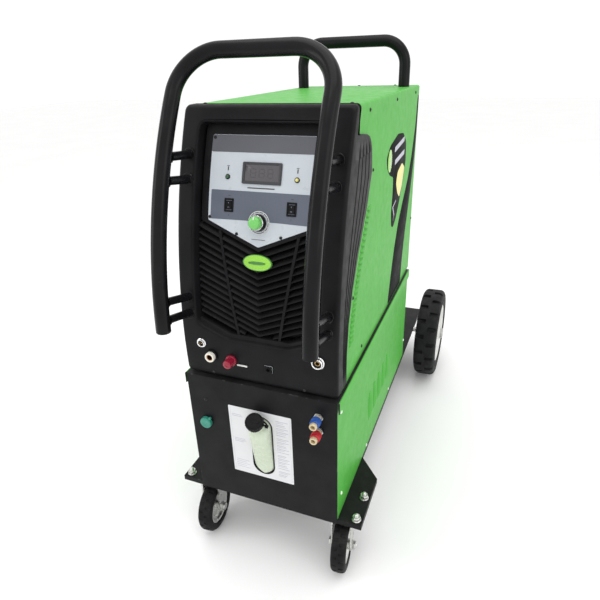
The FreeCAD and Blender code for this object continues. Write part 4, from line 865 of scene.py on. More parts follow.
def make_rockers():
    frames = []
    for side, sign in SIDES:
        base = panel_matrix(sign * ROCKER_X, ROCKER_Z)
        outer, hole = rectangle(-9.5, 9.5, -12.5, 12.5, 1.6), rectangle(-6.3, 6.3, -9.4, 9.4, 0.6)
        rings = stacked((outer, 0), (outer, 1.4), (inset(outer, 0.7), 2.0), (inset(hole, -0.6), 2.0),
            (hole, 1.4), (hole, -6))
        frames.append(moved(loft(rings), base))
        paddle = []
        for k in range(13):
            y = -7.7 + 15.4 * k / 12
            rise = 1.9 + 2.1 * (abs(y) / 7.7) ** 2 - (0.6 if k in (0, 12) else 0.0)
            paddle.append([(-5.9, y, -2.0), (-5.9, y, rise - 0.5), (-5.4, y, rise), (5.4, y, rise),
                (5.9, y, rise - 0.5), (5.9, y, -2.0)])
        shape = loft(paddle, True)
        piece("rocker_paddle_" + side, moved(shape, base), "black_plastic", body="rocker_body_" + side,
            replaces=["rocker_" + side])
        bar = plaque(rectangle(-0.5, 0.5, 3.0, 5.6, 0.2), 2.9, 0.05, 2.2)
        ring = lathe([(1.6, 2.5), (1.6, 3.0), (1.1, 3.0), (1.1, 2.5)], shift(0, -4.3, -0.12), 20,
            closed=True)
        piece("rocker_mark_" + side, moved(merge(bar, ring), base), "print_dial", "black_plastic",
            body="rocker_body_" + side)
    piece("rocker_frames", merge(*frames), "black_plastic")


def make_knob():
    """Tall knob: fluted black skirt, bright ring and domed green cap, in a printed dial with ticks."""
    base = panel_matrix(0, KNOB_Z)
    dial = lathe([(21.4, 0.0), (21.4, 0.6), (20.9, 0.8), (0, 0.8)], base, 64)
    piece("dial_disc", dial, "print_dial", "panel_face")
    lines = [lathe([(radius, 0.5), (radius, 0.95), (radius - 0.8, 0.95), (radius - 0.8, 0.5)], base, 64,
        closed=True) for radius in (21.2, 17.6)]
    for k in range(11):
        turn = base @ spin(-math.radians(-140 + 28 * k))
        lines.append(moved(plaque(rectangle(-0.4, 0.4, 18.2, 20.2, 0.1), 0.95, 0.03, 0.6), turn))
    piece("dial_lines", merge(*lines), "print_white", "panel_face")
    skirt = fluted([(0, 1.8, 0), (14.6, 1.8, 0), (15.5, 2.4, 0.3), (15.4, 4.4, 0.9), (15.0, 9.4, 0.9),
        (14.4, 10.6, 0.4), (13.8, 11.0, 0), (11.6, 11.2, 0)], 96, 24)
    piece("knob_skirt", moved(skirt, base), "black_plastic", "green_plastic", body="knob_body",
        replaces=["current_knob"])
    ring = lathe([(13.8, 10.6), (13.8, 12.0), (13.3, 12.6), (12.4, 12.6), (12.0, 11.8), (12.0, 10.6)], base,
        64)
    piece("knob_ring", ring, "chrome", body="knob_body")
    cap = lathe([(12.1, 10.6), (11.9, 19.6), (11.5, 21.6), (10.4, 23.0), (8.0, 24.0), (4.5, 24.5),
        (0, 24.7)], base, 64)
    piece("knob_cap", cap, "green_plastic", body="knob_body")
    pointer = moved(plaque(rectangle(-0.9, 0.9, 5.5, 10.9, 0.5), 24.6, 0.2, 20.6), base)
    piece("knob_pointer", pointer, "print_white", "green_plastic", body="knob_body")


def make_badge():
    """Plain domed oval in two tones inside a darker rim."""
    base = panel_matrix(0, BADGE_Z, 14.0)

    def domed(*levels):
        return moved(loft(stacked(*[(oval(30 * size, 15.6 * size, 64), z) for size, z in levels])), base)

    rim = domed((1.0, -1.5), (1.0, 1.6), (0.985, 2.1), (0.95, 2.3), (0.93, 1.9))
    piece("badge_rim", rim, "badge_edge", "badge_plastic", replaces=["badge"])
    dome = domed((0.93, -1.5), (0.93, 1.9), (0.8, 2.5), (0.55, 3.1), (0.25, 3.4), (0.001, 3.5))
    piece("badge_dome", dome, "badge_plastic")
    band = [(-17, -2.2), (-6, -3.6), (8, -3.2), (18, -1.2), (17, 1.6), (6, 2.8), (-8, 2.6), (-18, 0.6)]
    piece("badge_band", moved(plaque(soften(band, 2.0), 3.75, 0.2, 2.0), base), "badge_edge",
        "badge_plastic")


# --- wheels
def across_x(x, y, z):
    """Local Z runs along the machine's X."""
    return facing(x, y, z, (1, 0, 0))


def treaded(profile, matrix, floor, rows, count, half_angle):
    """Turn a closed (radius, across) profile and cut grooves in it, down to the floor radius.

    Each row is (low, high, phase): the part across the tyre that its grooves take up, and where in
    the pitch they lie.
    """
    pitch = math.tau / count
    offsets = set()
    for _, _, phase in rows:
        for step in (-1.5, -1.06, -0.95, -0.78, 0.0, 0.78, 0.95, 1.06, 1.5):
            offsets.add(round((phase * pitch + step * half_angle) % pitch, 5))
    angles = [k * pitch + offset for k in range(count) for offset in sorted(offsets)]

    def cut(angle, across):
        for low, high, phase in rows:
            if low <= across <= high:
                away = abs((angle - phase * pitch + pitch / 2) % pitch - pitch / 2) / half_angle
                return min(1.0, max(0.0, (1.06 - away) / 0.28))
        return 0.0

    rings = []
    for radius, across in profile:
        depth = max(0.0, radius - floor)
        rings.append(circle(lambda angle: radius - cut(angle, across) * depth, across, angles))
    rings.append(rings[0])
    return moved(loft(rings), matrix)


def mirrored(half, width):
    """A closed (radius, across) outline from the points of one half."""
    return half + [(radius, width - across) for radius, across in reversed(half) if across * 2 != width]


REAR_TREAD = mirrored([(155, 35.5), (155, 31), (155, 30), (155, 29), (155, 22), (155, 14.5), (152.8, 8.5),
    (148.5, 3.8), (142, 0.8), (134.5, 0), (133, 1), (123.5, 1), (122, 0), (113, 0), (106, 1.4), (103, 4)],
    71)
RIM_PROFILE = [(9.15, -4), (22, -4), (24, -2), (24, 41), (40, 45.5), (70, 48.5), (92, 43), (98, 38), (98, 4),
    (100.5, 2.6), (103, 4), (103, 67), (100.5, 68.4), (99, 66), (95, 58), (90, 51.5), (82, 52.2), (74, 56.2),
    (66, 56.4), (56, 52.5), (40, 49.5), (24, 46.5), (24, 69), (22, 72), (12, 72), (9.15, 71)]
CASTOR_TREAD = mirrored([(62.5, 17), (62.5, 15.6), (62.5, 14.6), (62.5, 13.6), (62.5, 10), (61.9, 6.4),
    (60.2, 3.4), (57.4, 1), (53.5, 0), (48, 0), (45, 0.6), (43, 3)], 34)
CASTOR_RIM = mirrored([(5.15, -2.1), (10.6, -2.1), (12, -0.8), (12, 9), (20, 11.4), (31, 13), (35, 9),
    (37.4, 4.2), (39.4, 2.8), (43, 3)], 34)


def rear_wheel_shapes():
    """Tyre, rim and hub details of the right-hand wheel."""
    base = across_x(TYRE_LOW.x, WHEEL_Y, WHEEL_R)
    tyre = treaded(REAR_TREAD, base, 146.0, [(-1, 30.2, 0.0), (40.8, 72, 0.5)], 18, math.radians(2.75))
    rim = lathe(RIM_PROFILE, base, 72, 1.2, closed=True)
    marks = []
    for k in range(5):
        turn = base @ spin(math.tau * k / 5) @ shift(47, 0, 50.6)
        marks.append(lathe([(6.4, 0), (6.4, 1.2), (5.2, 2.2), (3.4, 2.4), (0, 1.2)], turn, 24))
    valve = base @ spin(0.7) @ shift(84, 0, 51.5)
    marks.append(lathe([(3.0, 0), (3.0, 4.5), (2.2, 5.5), (2.2, 9.5), (1.6, 10.2), (0, 10.2)], valve, 20))
    return tyre, rim, merge(*marks)


def make_rear_wheels():
    tyre, rim, marks = rear_wheel_shapes()
    for side, sign in SIDES:
        body = "rear_wheel_body_" + side
        parts = (("rear_tread_", tyre, "tyre", ["rear_tyre_" + side]),
            ("rear_disc_", rim, "rim_paint", ["rear_rim_" + side]),
            ("rear_disc_studs_", marks, "rim_paint", ()))
        for name, shape, finish, nodes in parts:
            piece(name + side, shape if sign > 0 else flipped(shape), finish, body=body, replaces=nodes)


def make_axle():
    """Axle bar with turned ends; its collars, washers and nuts are returned."""
    ends = reach("rear_axle")[1].x

    def on_axle(x):
        return across_x(x, WHEEL_Y, WHEEL_R)

    bar = lathe(mirrored([(0, 0), (7.2, 0), (8.4, 1.2), (8.95, 2.4)], 2 * ends), on_axle(-ends), 40)
    piece("axle_bar", bar, "zinc", replaces=["rear_axle"])
    hub_out = TYRE_HIGH.x + 1.3
    washer = [(9.1, 0.2), (19, 0.2), (20, 0.9), (20, 2.4), (19, 3), (9.1, 3)]
    collar = [(9.1, 0), (14, 0), (15, 1), (15, 7), (14, 8), (9.1, 8)]
    parts = [lathe(washer, on_axle(hub_out), 40, closed=True)]
    parts.append(lathe(collar, on_axle(TYRE_LOW.x - 12.3), 40, closed=True))
    parts.append(hex_nut(30, 5.6, 9.1, on_axle(hub_out + 3.1)))
    return both_sides(merge(*parts))


# --- castors
CASTOR_X = 167.5
CASTOR_Y = 32.0
CASTOR_TYRE_HALF = 17.0
CASTOR_TURN = {"left": math.radians(4), "right": math.radians(6)}
SWIVEL_Y = 46.0
PLATE_Z = 169.0
PLATE_T = 4.0
CASTOR_BOLT_DX = 38.5
CASTOR_BOLT_DY = 32.0
CUP_Z = 150.0
CROWN_Z = 143.0
FORK_HALF = 23.5
FORK_T = 4.0


def castor_plate_shape():
    """Mounting plate with rounded corners, its raised race and the dust lip below."""
    low = PLATE_Z - PLATE_T - 5
    outline = rectangle(CASTOR_X - 48, CASTOR_X + 48, SWIVEL_Y - 41, SWIVEL_Y + 41, 9)
    plate = moved(plaque(outline, 5.0, 0.6), shift(0, 0, low))
    race = lathe([(36, low + 1), (34.5, low - 1.5), (31, low - 3.4), (31, CUP_Z + 3), (30.2, CUP_Z + 1),
        (28, CUP_Z + 0.2), (0, CUP_Z + 0.2)], shift(CASTOR_X, SWIVEL_Y, 0))
    return merge(plate, race)


def fork_leg(x):
    outline = soften([(SWIVEL_Y - 26, CROWN_Z - 1), (SWIVEL_Y - 26, 118), (CASTOR_Y - 15, CASTOR_R + 5),
        (CASTOR_Y - 11, CASTOR_R - 12.6), (CASTOR_Y + 11, CASTOR_R - 12.6), (CASTOR_Y + 15, CASTOR_R + 5),
        (SWIVEL_Y + 26, 118), (SWIVEL_Y + 26, CROWN_Z - 1)], 12)
    return moved(plaque(outline, FORK_T, 0.9), across_x(x, 0, 0))


def fork_shape():
    """Pressed fork: a crown with a rolled edge, shoulders and two tapering legs."""
    crown = lathe([(0, CUP_Z - 0.4), (27.6, CUP_Z - 0.4), (29, CUP_Z - 1.8), (29, CROWN_Z + 1),
        (27, CROWN_Z - 0.6), (0, CROWN_Z - 0.6)], shift(CASTOR_X, SWIVEL_Y, 0))
    outer = [(-23.4, 127), (-23.4, 138), (-22.2, 141.4), (-19, 143.2)]
    inner = [(19.6, 127), (19.6, 136), (17.5, 138.2)]
    section = outer + [(-x, z) for x, z in reversed(outer)] + inner + [(-x, z) for x, z in reversed(inner)]
    rings = []
    for y, inward in ((-26, 1.0), (-25, 0.0), (-10, 0.0), (10, 0.0), (25, 0.0), (26, 1.0)):
        rings.append([(CASTOR_X + x * (1 - inward / 40), SWIVEL_Y + y, z - inward * 0.5)
            for x, z in section])
    bridge = loft(rings, True)
    washer = [(12.4, 0), (12.4, 1.1), (11.4, 1.6), (5.2, 1.6), (5.2, 0)]
    boss = [lathe(washer, facing(CASTOR_X + way * FORK_HALF, CASTOR_Y, CASTOR_R, (way, 0, 0)), 32)
        for way in (-1, 1)]
    return merge(crown, bridge, fork_leg(CASTOR_X - FORK_HALF), fork_leg(CASTOR_X + FORK_HALF - FORK_T),
        *boss)


def castor_bolt_shape():
    """Axle bolt of the castor wheel with its nut."""
    left, right = CASTOR_X - FORK_HALF - 1.6, CASTOR_X + FORK_HALF + 1.6
    head = hex_nut(17, 5.0, 0, facing(left, CASTOR_Y, CASTOR_R, (-1, 0, 0)))
    nut = hex_nut(17, 6.4, 5.0, facing(right, CASTOR_Y, CASTOR_R, (1, 0, 0)))
    shank = lathe([(0, -50), (4.95, -50), (4.95, 8.2), (4.2, 9.2), (0, 9.2)], across_x(right, CASTOR_Y,
        CASTOR_R), 28)
    return merge(head, nut, shank)


def swivelled(shape, side, sign):
    """A castor part drawn pointing straight ahead on the right, put in its place and turned."""
    axis = shift(sign * CASTOR_X, SWIVEL_Y, 0)
    turn = axis @ spin(CASTOR_TURN[side]) @ axis.inverted()
    return moved(shape if sign > 0 else flipped(shape), turn)


def make_castors():
    tyre_base = across_x(CASTOR_X - CASTOR_TYRE_HALF, CASTOR_Y, CASTOR_R)
    tread = treaded(CASTOR_TREAD, tyre_base, 60.6, [(-1, 14.7, 0.0), (19.3, 35, 0.5)], 20, math.radians(2.8))
    rim = lathe(CASTOR_RIM, tyre_base, 48, 0.9, closed=True)
    fork, bolts = fork_shape(), castor_bolt_shape()
    for side, sign in SIDES:
        swivel, wheel = "castor_swivel_body_" + side, "castor_wheel_body_" + side
        parts = (("castor_tread_", tread, wheel, "castor_rubber", ["castor_tyre_" + side]),
            ("castor_disc_", rim, wheel, "zinc", ["castor_wheel_" + side]),
            ("castor_legs_", fork, swivel, "zinc", ["castor_fork_" + side]),
            ("castor_bolt_", bolts, swivel, "zinc", ()))
        for name, shape, body, finish, nodes in parts:
            piece(name + side, swivelled(shape, side, sign), finish, body=body, replaces=nodes)
    piece("castor_mounts", both_sides(castor_plate_shape()), "black_paint", replaces=["castor_plates"])


def make_fasteners():
    """Bolt, washer and nut at every castor plate hole, tray bolts and the axle's hardware."""
    low = PLATE_Z - PLATE_T - 5
    parts = []
    for dx in (-CASTOR_BOLT_DX, CASTOR_BOLT_DX):
        for dy in (-CASTOR_BOLT_DY, CASTOR_BOLT_DY):
            x, y = CASTOR_X + dx, SWIVEL_Y + dy
            parts.append(lathe([(5.1, 0), (9.4, 0), (10, 0.5), (10, 1.6), (9.4, 2), (5.1, 2)],
                shift(x, y, PLATE_Z), 32, closed=True))
            nut_turn = spin(0.4 + dx * 0.03 + dy * 0.11)
            parts.append(hex_nut(16, 8.0, 5.0, shift(x, y, PLATE_Z + 2) @ nut_turn))
            parts.append(lathe([(0, low - 1), (4.9, low - 1), (4.9, PLATE_Z + 13.6), (3.8, PLATE_Z + 15.6),
                (2.0, PLATE_Z + 16.4), (0, PLATE_Z + 16.6)], shift(x, y, 0), 24))
            parts.append(hex_nut(16, 6.4, 0, facing(x, y, low, (0, 0, -1), (0, 1, 0))))
    bolts = both_sides(merge(*parts))
    back = reach("base_tray")[1].y + PLATE_T
    joins = [hex_nut(8, 3.5, 0, facing(x, back, 161, (0, 1, 0))) for x in (-110, 0, 110)]
    piece("trolley_bolts", merge(bolts, make_axle(), *joins), "zinc", replaces=["chassis_fasteners"])


# --- handles
GRAB_X = 145.0
GRAB_R = 873.0
GRAB_CY = 791.0
GRAB_CZ = 568.0
GRAB_LOW = 622.0
GRAB_HIGH = 1022.0
GRAB_BEND = 78.0
TUBE_R = 14.0
STANDOFFS = [(924.0, 916.0), (886.0, 873.0), (676.0, 652.0), (640.0, 618.0)]


def grab_y(z):
    return GRAB_CY - math.sqrt(GRAB_R ** 2 - (z - GRAB_CZ) ** 2)


def mirror_path(path):
    """A right-hand half path and its mirror image, as one run from right to left."""
    return path + [Vector((-p[0], p[1], p[2])) for p in reversed(path)]


def grab_path():
    leg = [Vector((GRAB_X, grab_y(z), z)) for z in levels(GRAB_LOW, GRAB_HIGH, 12.0)]
    rise = Vector((0, GRAB_HIGH - GRAB_CZ, GRAB_CY - grab_y(GRAB_HIGH))).normalized()
    centre = leg[-1] - Vector((GRAB_BEND, 0, 0))
    bend = arc_points(centre, leg[-1], Vector((1, 0, 0)).cross(rise), 90, 18)
    return mirror_path(leg + bend[1:])


def rear_path():
    low, high = reach("rear_handle")
    top, side = high.z - TUBE_R, high.x - TUBE_R
    y = (low.y + high.y) / 2
    bend = 56.0
    leg = [Vector((side, y, z)) for z in levels(UPPER_TOP, top - bend, 12.0)]
    arc = arc_points((side - bend, y, top - bend), leg[-1], (0, -1, 0), 90, 16)
    return mirror_path(leg + arc[1:])


def weld(matrix, radius):
    """A small uneven fillet bead around a bar."""
    bead = ((0.0, 4.2), (0.9, 2.6), (2.1, 1.3), (3.8, 0.4), (4.4, -1.0), (0.0, -1.0))
    rings = [circle(lambda angle: radius + out * (1 + 0.10 * math.sin(14 * angle)), height, around(48))
        for out, height in bead]
    return moved(loft(rings), matrix)


def make_handles():
    path = grab_path()
    piece("grab_tube", tube_along(path, TUBE_R, 40, 2.0), "black_tube", replaces=["front_handle"])
    bars = []
    for tube_z, front_z in STANDOFFS:
        near = Vector((GRAB_X, grab_y(tube_z), tube_z))
        far = on_front(GRAB_X, front_z)
        way = (far - near).normalized()
        start, end = near + way * (TUBE_R - 1.5), far + way * 2
        bars.append(tube_along([start + (end - start) * k / 3 for k in range(4)], 7.95, 32))
        bars.append(weld(facing(*(near + way * (TUBE_R - 0.8)), way), 7.9))
        bars.append(lathe([(12.0, 0.6), (12.0, -1.2), (11.2, -2.0), (7.9, -2.0)], facing(*far, way), 36))
    piece("grab_standoffs", both_sides(merge(*bars)), "black_tube", replaces=["handle_standoffs"])
    start, way = path[0], (path[0] - path[1]).normalized()
    cap = lathe([(11.7, -14), (11.7, 0.0), (13.9, 0.0), (13.9, 1.6), (13.0, 2.7), (10, 3.0), (0, 3.0)],
        facing(*start, way, (0, 1, 0)), 40)
    piece("grab_plugs", both_sides(cap), "black_plastic", replaces=["handle_end_caps"])
    piece("push_tube", tube_along(rear_path(), TUBE_R, 40), "black_tube", replaces=["rear_handle"])


# --- cases
LID_HALF = 172.0
LID_LOW = 451.0
LID_TOP = 476.0
SIDE_SCREWS_UPPER = [(208, 983), (449, 983), (683, 983), (243, 868), (110, 648), (729, 634), (185, 499)]
SIDE_SCREWS_LOWER = [(23, 440), (26, 222), (711, 228), (242, 176), (497, 178)]
TOP_SCREWS = [(-146, 150), (146, 150), (-100, 726), (0, 726), (100, 726)]
SEAM_Z = 486.5
REAR_SCREWS = [(-152, 500), (152, 500), (-152, 740), (152, 740), (-152, 960), (152, 960)]


def flat_piece(outline, x, thickness):
    """A thin sheet on the right-hand side, from (y, z) points; x is the surface it lies on."""
    area = sum(a[0] * b[1] - b[0] * a[1] for a, b in zip(outline, outline[1:] + outline[:1]))
    if area < 0:
        outline = outline[::-1]
    return moved(plaque(outline, thickness, min(0.15, thickness / 3)), across_x(x, 0, 0))


def make_lid():
    """Black deck between the cabinets and the green skirts that fold down over the lower sides."""
    back = reach("lower_lid")[1].y
    deck = block((-169.2, -1.5, LID_TOP - 1.5), (169.2, back, LID_TOP), 0.6)
    piece("lid_deck", deck, "black_paint", replaces=["lower_lid"])
    section = [(169.6, LID_TOP - 1.6), (169.6, LID_TOP - 0.4), (170.4, LID_TOP), (171.2, LID_TOP - 0.3),
        (LID_HALF, LID_TOP - 1.6), (LID_HALF, LID_LOW + 0.5), (171.5, LID_LOW), (170.6, LID_LOW),
        (170.4, LID_LOW + 0.6), (170.4, LID_TOP - 2.4)]

    def skirt(stations):
        rings = [[(x, y, z) for x, z in section] for y in stations]
        return both_sides(loft(rings, True))

    piece("lid_skirts", skirt((1.5, 180, 360, 540, back)), "green_paint")
    piece("lid_corners", skirt((-1.5, 0, 1.5)), "black_paint")


def louvre_hood(y, low, high):
    """Half-open pressed hood over one side slot: closed at the front edge, open to the rear."""
    rings = []
    count = 14
    for k in range(count + 1):
        z = low - 3 + (high - low + 6) * k / count
        swell = math.sqrt(max(0.0, 1 - abs(2 * k / count - 1) ** 3.2))
        out = 5.2 * swell
        rings.append([(LOWER_HALF + 0.05, y - 9, z), (LOWER_HALF + 0.25 + out * 0.45, y - 5.5, z),
            (LOWER_HALF + 0.3 + out * 0.86, y - 1, z), (LOWER_HALF + 0.35 + out, y + 4, z),
            (LOWER_HALF + 0.02 + out * 0.8, y + 4.2, z), (LOWER_HALF + 0.01 + out * 0.5, y - 1.5, z),
            (LOWER_HALF + 0.005, y - 7, z)])
    return loft(rings, True)


SLOT_Y = (265.0, 312.0, 359.0, 406.0, 453.0)
SLOT_LOW = 246.0
SLOT_HIGH = 322.0
SWOOSH = [(446, 478), (452, 500), (474, 560), (500, 620), (536, 676), (585, 722), (640, 768), (680, 826),
    (712, 900), (722, 974), (737.5, 974), (736, 880), (727, 832), (706, 770), (682, 706), (655, 648),
    (634, 595), (618, 535), (610, 478)]
DECAL = [(366, 868), (398, 890), (480, 906), (545, 900), (586, 874), (592, 824), (560, 770), (533, 734),
    (500, 700), (468, 683), (446, 692), (438, 728), (446, 770), (445, 812), (404, 824), (376, 843)]
DECAL_PATCH = [(494, 815), (545, 828), (580, 812), (556, 768), (530, 745), (502, 762), (482, 790)]
DECAL_DISC = (401, 857)
DECAL_BOLT = [(489, 748), (451, 738), (471, 712), (464, 700), (477, 714), (459, 736), (490, 744)]
DECAL_BARS = ([(448, 868), (560, 878), (562, 890), (452, 880)], [(456, 838), (566, 846), (568, 858),
    (458, 850)])
VENT_COUNT = 25
VENT_PITCH = 10.2
VENT_LOW = 548.0
VENT_Y = 103.0
VENT_SWEEP = 128.0


def vent_hood(y, z):
    """Low pressed lip above one side slit."""
    face = UPPER_HALF
    rings = []
    for k in range(13):
        along = -1 + k / 6
        swell = math.sqrt(max(0.0, 1 - abs(along) ** 4))
        place = y + 15.5 * along
        rings.append([(face + 0.01, place, z + 4.6), (face + 0.1 + 1.5 * swell, place, z + 3.2),
            (face + 0.15 + 2.9 * swell, place, z + 0.8), (face + 0.12 + 2.9 * swell, place, z - 0.5),
            (face + 0.01, place, z - 0.3)])
    return loft(rings, True)


def make_case_details():
    hoods = [louvre_hood(y, SLOT_LOW, SLOT_HIGH) for y in SLOT_Y]
    piece("side_hoods", both_sides(merge(*hoods)), "green_paint")
    vents = []
    for k in range(VENT_COUNT):
        z = VENT_LOW + VENT_PITCH * k
        y = VENT_Y + VENT_SWEEP * max(0.0, (z - 560) / 246) ** 1.35
        vents.append(vent_hood(y, z + 3.4))
    piece("side_vent_hoods", both_sides(merge(*vents)), "green_paint")
    face = UPPER_HALF + 0.02
    swoosh = flat_piece(soften(SWOOSH, 12.0), face, 0.25)
    base = flat_piece(soften(DECAL, 9.0), face, 0.25)
    piece("side_stripe", both_sides(merge(swoosh, base)), "print_black", "green_paint")
    patch = flat_piece(soften(DECAL_PATCH, 8.0), face, 0.4)
    piece("side_decal_patch", both_sides(patch), "print_pale_yellow", "green_paint")
    disc = flat_piece(oval(20, 25, 40, DECAL_DISC), face, 0.4)
    piece("side_decal_disc", both_sides(disc), "badge_plastic", "green_paint")
    bars = [flat_piece(soften(bar, 3.0), face, 0.4) for bar in DECAL_BARS]
    bars.append(flat_piece([Vector(p) for p in DECAL_BOLT], face, 0.4))
    piece("side_decal_bars", both_sides(merge(*bars)), "print_faint", "green_paint")


def make_screws():
    def on_side(places, radius, face):
        return both_sides(merge(*[pan_screw(radius, across_x(face + 0.02, y, z) @ spin(y * 0.37))
            for y, z in places]))

    tops = [pan_screw(3.6, shift(x, y, UPPER_TOP) @ spin(x)) for x, y in TOP_SCREWS]
    backs = [pan_screw(3.6, rearward(x, z)) for x, z in REAR_SCREWS]
    seams = [pan_screw(3.2, socket_frame(x, SEAM_Z), 1.6) for x in (-104, 98)]
    front = pan_screw(3.6, outward(-128, SHEET_FRONT, 416))
    piece("screws_upper", merge(on_side(SIDE_SCREWS_UPPER, 3.6, UPPER_HALF), *tops, *backs), "black_screw",
        replaces=["case_screws"])
    piece("screws_front", merge(front, *seams), "black_screw")
    piece("screws_lower", on_side(SIDE_SCREWS_LOWER, 4.0, LOWER_HALF), "print_white", "zinc")


# --- lower front
LABEL = (-74.0, 70.0, 238.0, 416.0)
BOTTLE_X = 1.0
BOTTLE_R = 22.5
BOTTLE_LOW = 274.0
BOTTLE_HIGH = 378.0
BOTTLE_FRONT = [(-2.5, 250), (-5, 272), (-26, 362), (-27.5, 370), (-25, 380), (-12, 393), (6, 402)]
CAP_BASE = Vector((BOTTLE_X - 3, -19.5, 398.0))
NECK_LEAN = math.radians(35)
NECK_WAY = Vector((0, -math.sin(NECK_LEAN), math.cos(NECK_LEAN)))
COUPLING_X = 129.0
COUPLING_Z = (("blue", 435.0), ("red", 401.0))
DRAIN_X = -131.0
DRAIN_Z = 358.0
SHEET_FRONT = -1.5


def outward(x, y, z):
    """Local Z points towards the operator, local X across and local Y up."""
    return facing(x, y, z, (0, -1, 0))


def obround(x, radius, low, high, steps=16):
    top = [Vector((x + radius * math.cos(math.pi * k / steps), high
        + radius * math.sin(math.pi * k / steps))) for k in range(steps + 1)]
    return top + [Vector((2 * x - p.x, low + high - p.y)) for p in top]


def dense(outline, step):
    result = []
    for a, b in zip(outline, outline[1:] + outline[:1]):
        a, b = Vector(a), Vector(b)
        count = max(1, round((b - a).length / step))
        result += [a + (b - a) * k / count for k in range(count)]
    return result


def framed(outer, hole, middle, height, edge=0.15):
    """A flat plate with a hole in it, in local XY."""
    outer = dense(outer, 4.0)
    rim = [ray_hit(hole, (p - middle).normalized(), middle) for p in outer]

    def grown(points, distance):
        return [p + (p - middle).normalized() * distance for p in points]

    rings = stacked((outer, 0), (outer, height - edge), (grown(outer, -edge), height),
        (grown(rim, edge), height), (rim, height - edge), (rim, 0))
    rings.append(rings[0])
    return loft(rings)


def cutout(grow):
    return obround(BOTTLE_X, BOTTLE_R + grow, BOTTLE_LOW, BOTTLE_HIGH)


def make_label():
    """White information label around the bottle: plain lines only, no wording."""
    x0, x1, z0, z1 = LABEL
    base = outward(0, SHEET_FRONT - 0.02, 0)
    middle = Vector((BOTTLE_X, (BOTTLE_LOW + BOTTLE_HIGH) / 2))
    sheet = framed(rectangle(x0, x1, z0, z1, 2.0), cutout(3.2), middle, 0.45)
    piece("label_sheet", moved(sheet, base), "print_label", "black_paint")
    lip = framed(cutout(3.4), cutout(1.2), middle, 1.1, 0.3)
    piece("label_cutout_lip", moved(lip, base), "black_plastic", "black_paint")
    marks = []

    def line(left, right, low, high):
        marks.append(moved(plaque(rectangle(left, right, low, high, 0.05), 0.56, 0.02, 0.4), base))

    line(x0 + 4, x0 + 4.4, z0 + 5, z1 - 5)
    line(x1 - 4.4, x1 - 4, z0 + 5, z1 - 5)
    for row in range(17):
        z = z1 - 16 - row * 9.0
        line(35, 62 - 7 * (row % 3 == 1), z, z + 1.5)
        if row % 5 != 4:
            line(35, 52 + 5 * (row % 2), z - 3.6, z - 2.5)
    for z in (395, 391, 331, 327, 323):
        line(-66, -38 - (z % 3) * 3, z, z + 1.4)
    for row in range(5):
        line(-66, -34 - (row % 2) * 8, 272 - row * 5, 273.2 - row * 5)
    piece("label_lines", merge(*marks), "print_faint", "black_paint")


def bottle_shape(shrink=0.0, top=999.0):
    """Skin of the sight bottle, shrunk by some millimetres, up to a level."""
    low, high = BOTTLE_LOW - BOTTLE_R + shrink, min(top, BOTTLE_HIGH + BOTTLE_R - shrink)
    rings = []
    for k in range(41):
        z = low + (high - low) * (0.5 - 0.5 * math.cos(math.pi * k / 40))
        over = max(BOTTLE_LOW - z, z - BOTTLE_HIGH, 0.0)
        half = math.sqrt(max(0.6, (BOTTLE_R - shrink) ** 2 - over ** 2))
        front = profile_y(BOTTLE_FRONT, z) + shrink
        bulge = min(half * 0.8, 15.0, 5 + max(0.0, z - 252) / 12)
        ring = [Vector((BOTTLE_X + half, 34, z)), Vector((BOTTLE_X - half, 34, z))]
        for step in range(21):
            turn = math.pi * step / 20
            x = -half * math.copysign(abs(math.cos(turn)) ** 0.8, math.cos(turn))
            ring.append(Vector((BOTTLE_X + x, front + bulge * (1 - math.sin(turn) ** 0.8), z)))
        rings.append(ring)
    return loft(rings, True)


def neck_frame():
    return facing(*CAP_BASE, NECK_WAY)


def make_bottle():
    piece("bottle_skin", bottle_shape(), "clear_plastic", replaces=["coolant_bottle"])
    piece("bottle_liquid", bottle_shape(1.6, 352), "coolant", "clear_plastic")
    threads = [(13.0 if z % 2 == 0 else 13.4, z) for z in range(1, 8)]
    neck = lathe([(15.8, -24), (15.8, -3), (17.6, -2.2), (17.6, -0.9), (13.4, -0.6), *threads, (13.0, 8.6),
        (11, 8.8), (11, -24)], neck_frame(), closed=True)
    piece("bottle_neck", neck, "clear_plastic")
    path = []
    for k in range(33):
        turn = math.radians(10 + 160 * k / 32)
        path.append((25 * math.cos(turn), 10 * math.sin(turn), -2.2))
    strap = moved(tube_along(path, 1.7, 16), neck_frame())
    tab = moved(block((21, -3.5, -3.9), (28, 3.5, -0.1), 1.0), neck_frame())
    bridge = [moved(block((x0, -1, -2.8), (x1, 3, -0.9), 0.5), neck_frame()) for x0, x1 in ((-25.5, -16),
        (16, 22))]
    piece("cap_strap", merge(strap, tab, *bridge), "black_plastic")


def make_cap():
    """Screw cap with a fluted skirt, a shallow dished top and a raised grip bar."""
    turns = 144
    profile = [(13.9, 9.3, 0), (13.9, 0.8, 0), (18.0, 0.5, 0), (18.8, 1.1, 0.5), (19.0, 2.2, 1.2),
        (19.0, 12.5, 1.2), (18.7, 14.6, 0.8), (17.8, 16.1, 0.1), (16.6, 16.7, 0), (15.2, 16.8, 0),
        (14.4, 15.9, 0), (13.4, 15.5, 0), (0, 15.5, 0)]
    shell = fluted(profile, turns, 24, lambda swing: max(0.0, swing) ** 1.4)
    grip = plaque(rectangle(-12.6, 12.6, -2.6, 2.6, 2.2), 16.9, 0.8, 14.8)
    crown = lathe([(0, 9.3), (13.9, 9.3)], Matrix.Identity(4), turns)
    shape = moved(merge(shell, crown, grip), neck_frame())
    piece("cap_shell", shape, "black_plastic", body="cap_body", replaces=["filler_cap"])


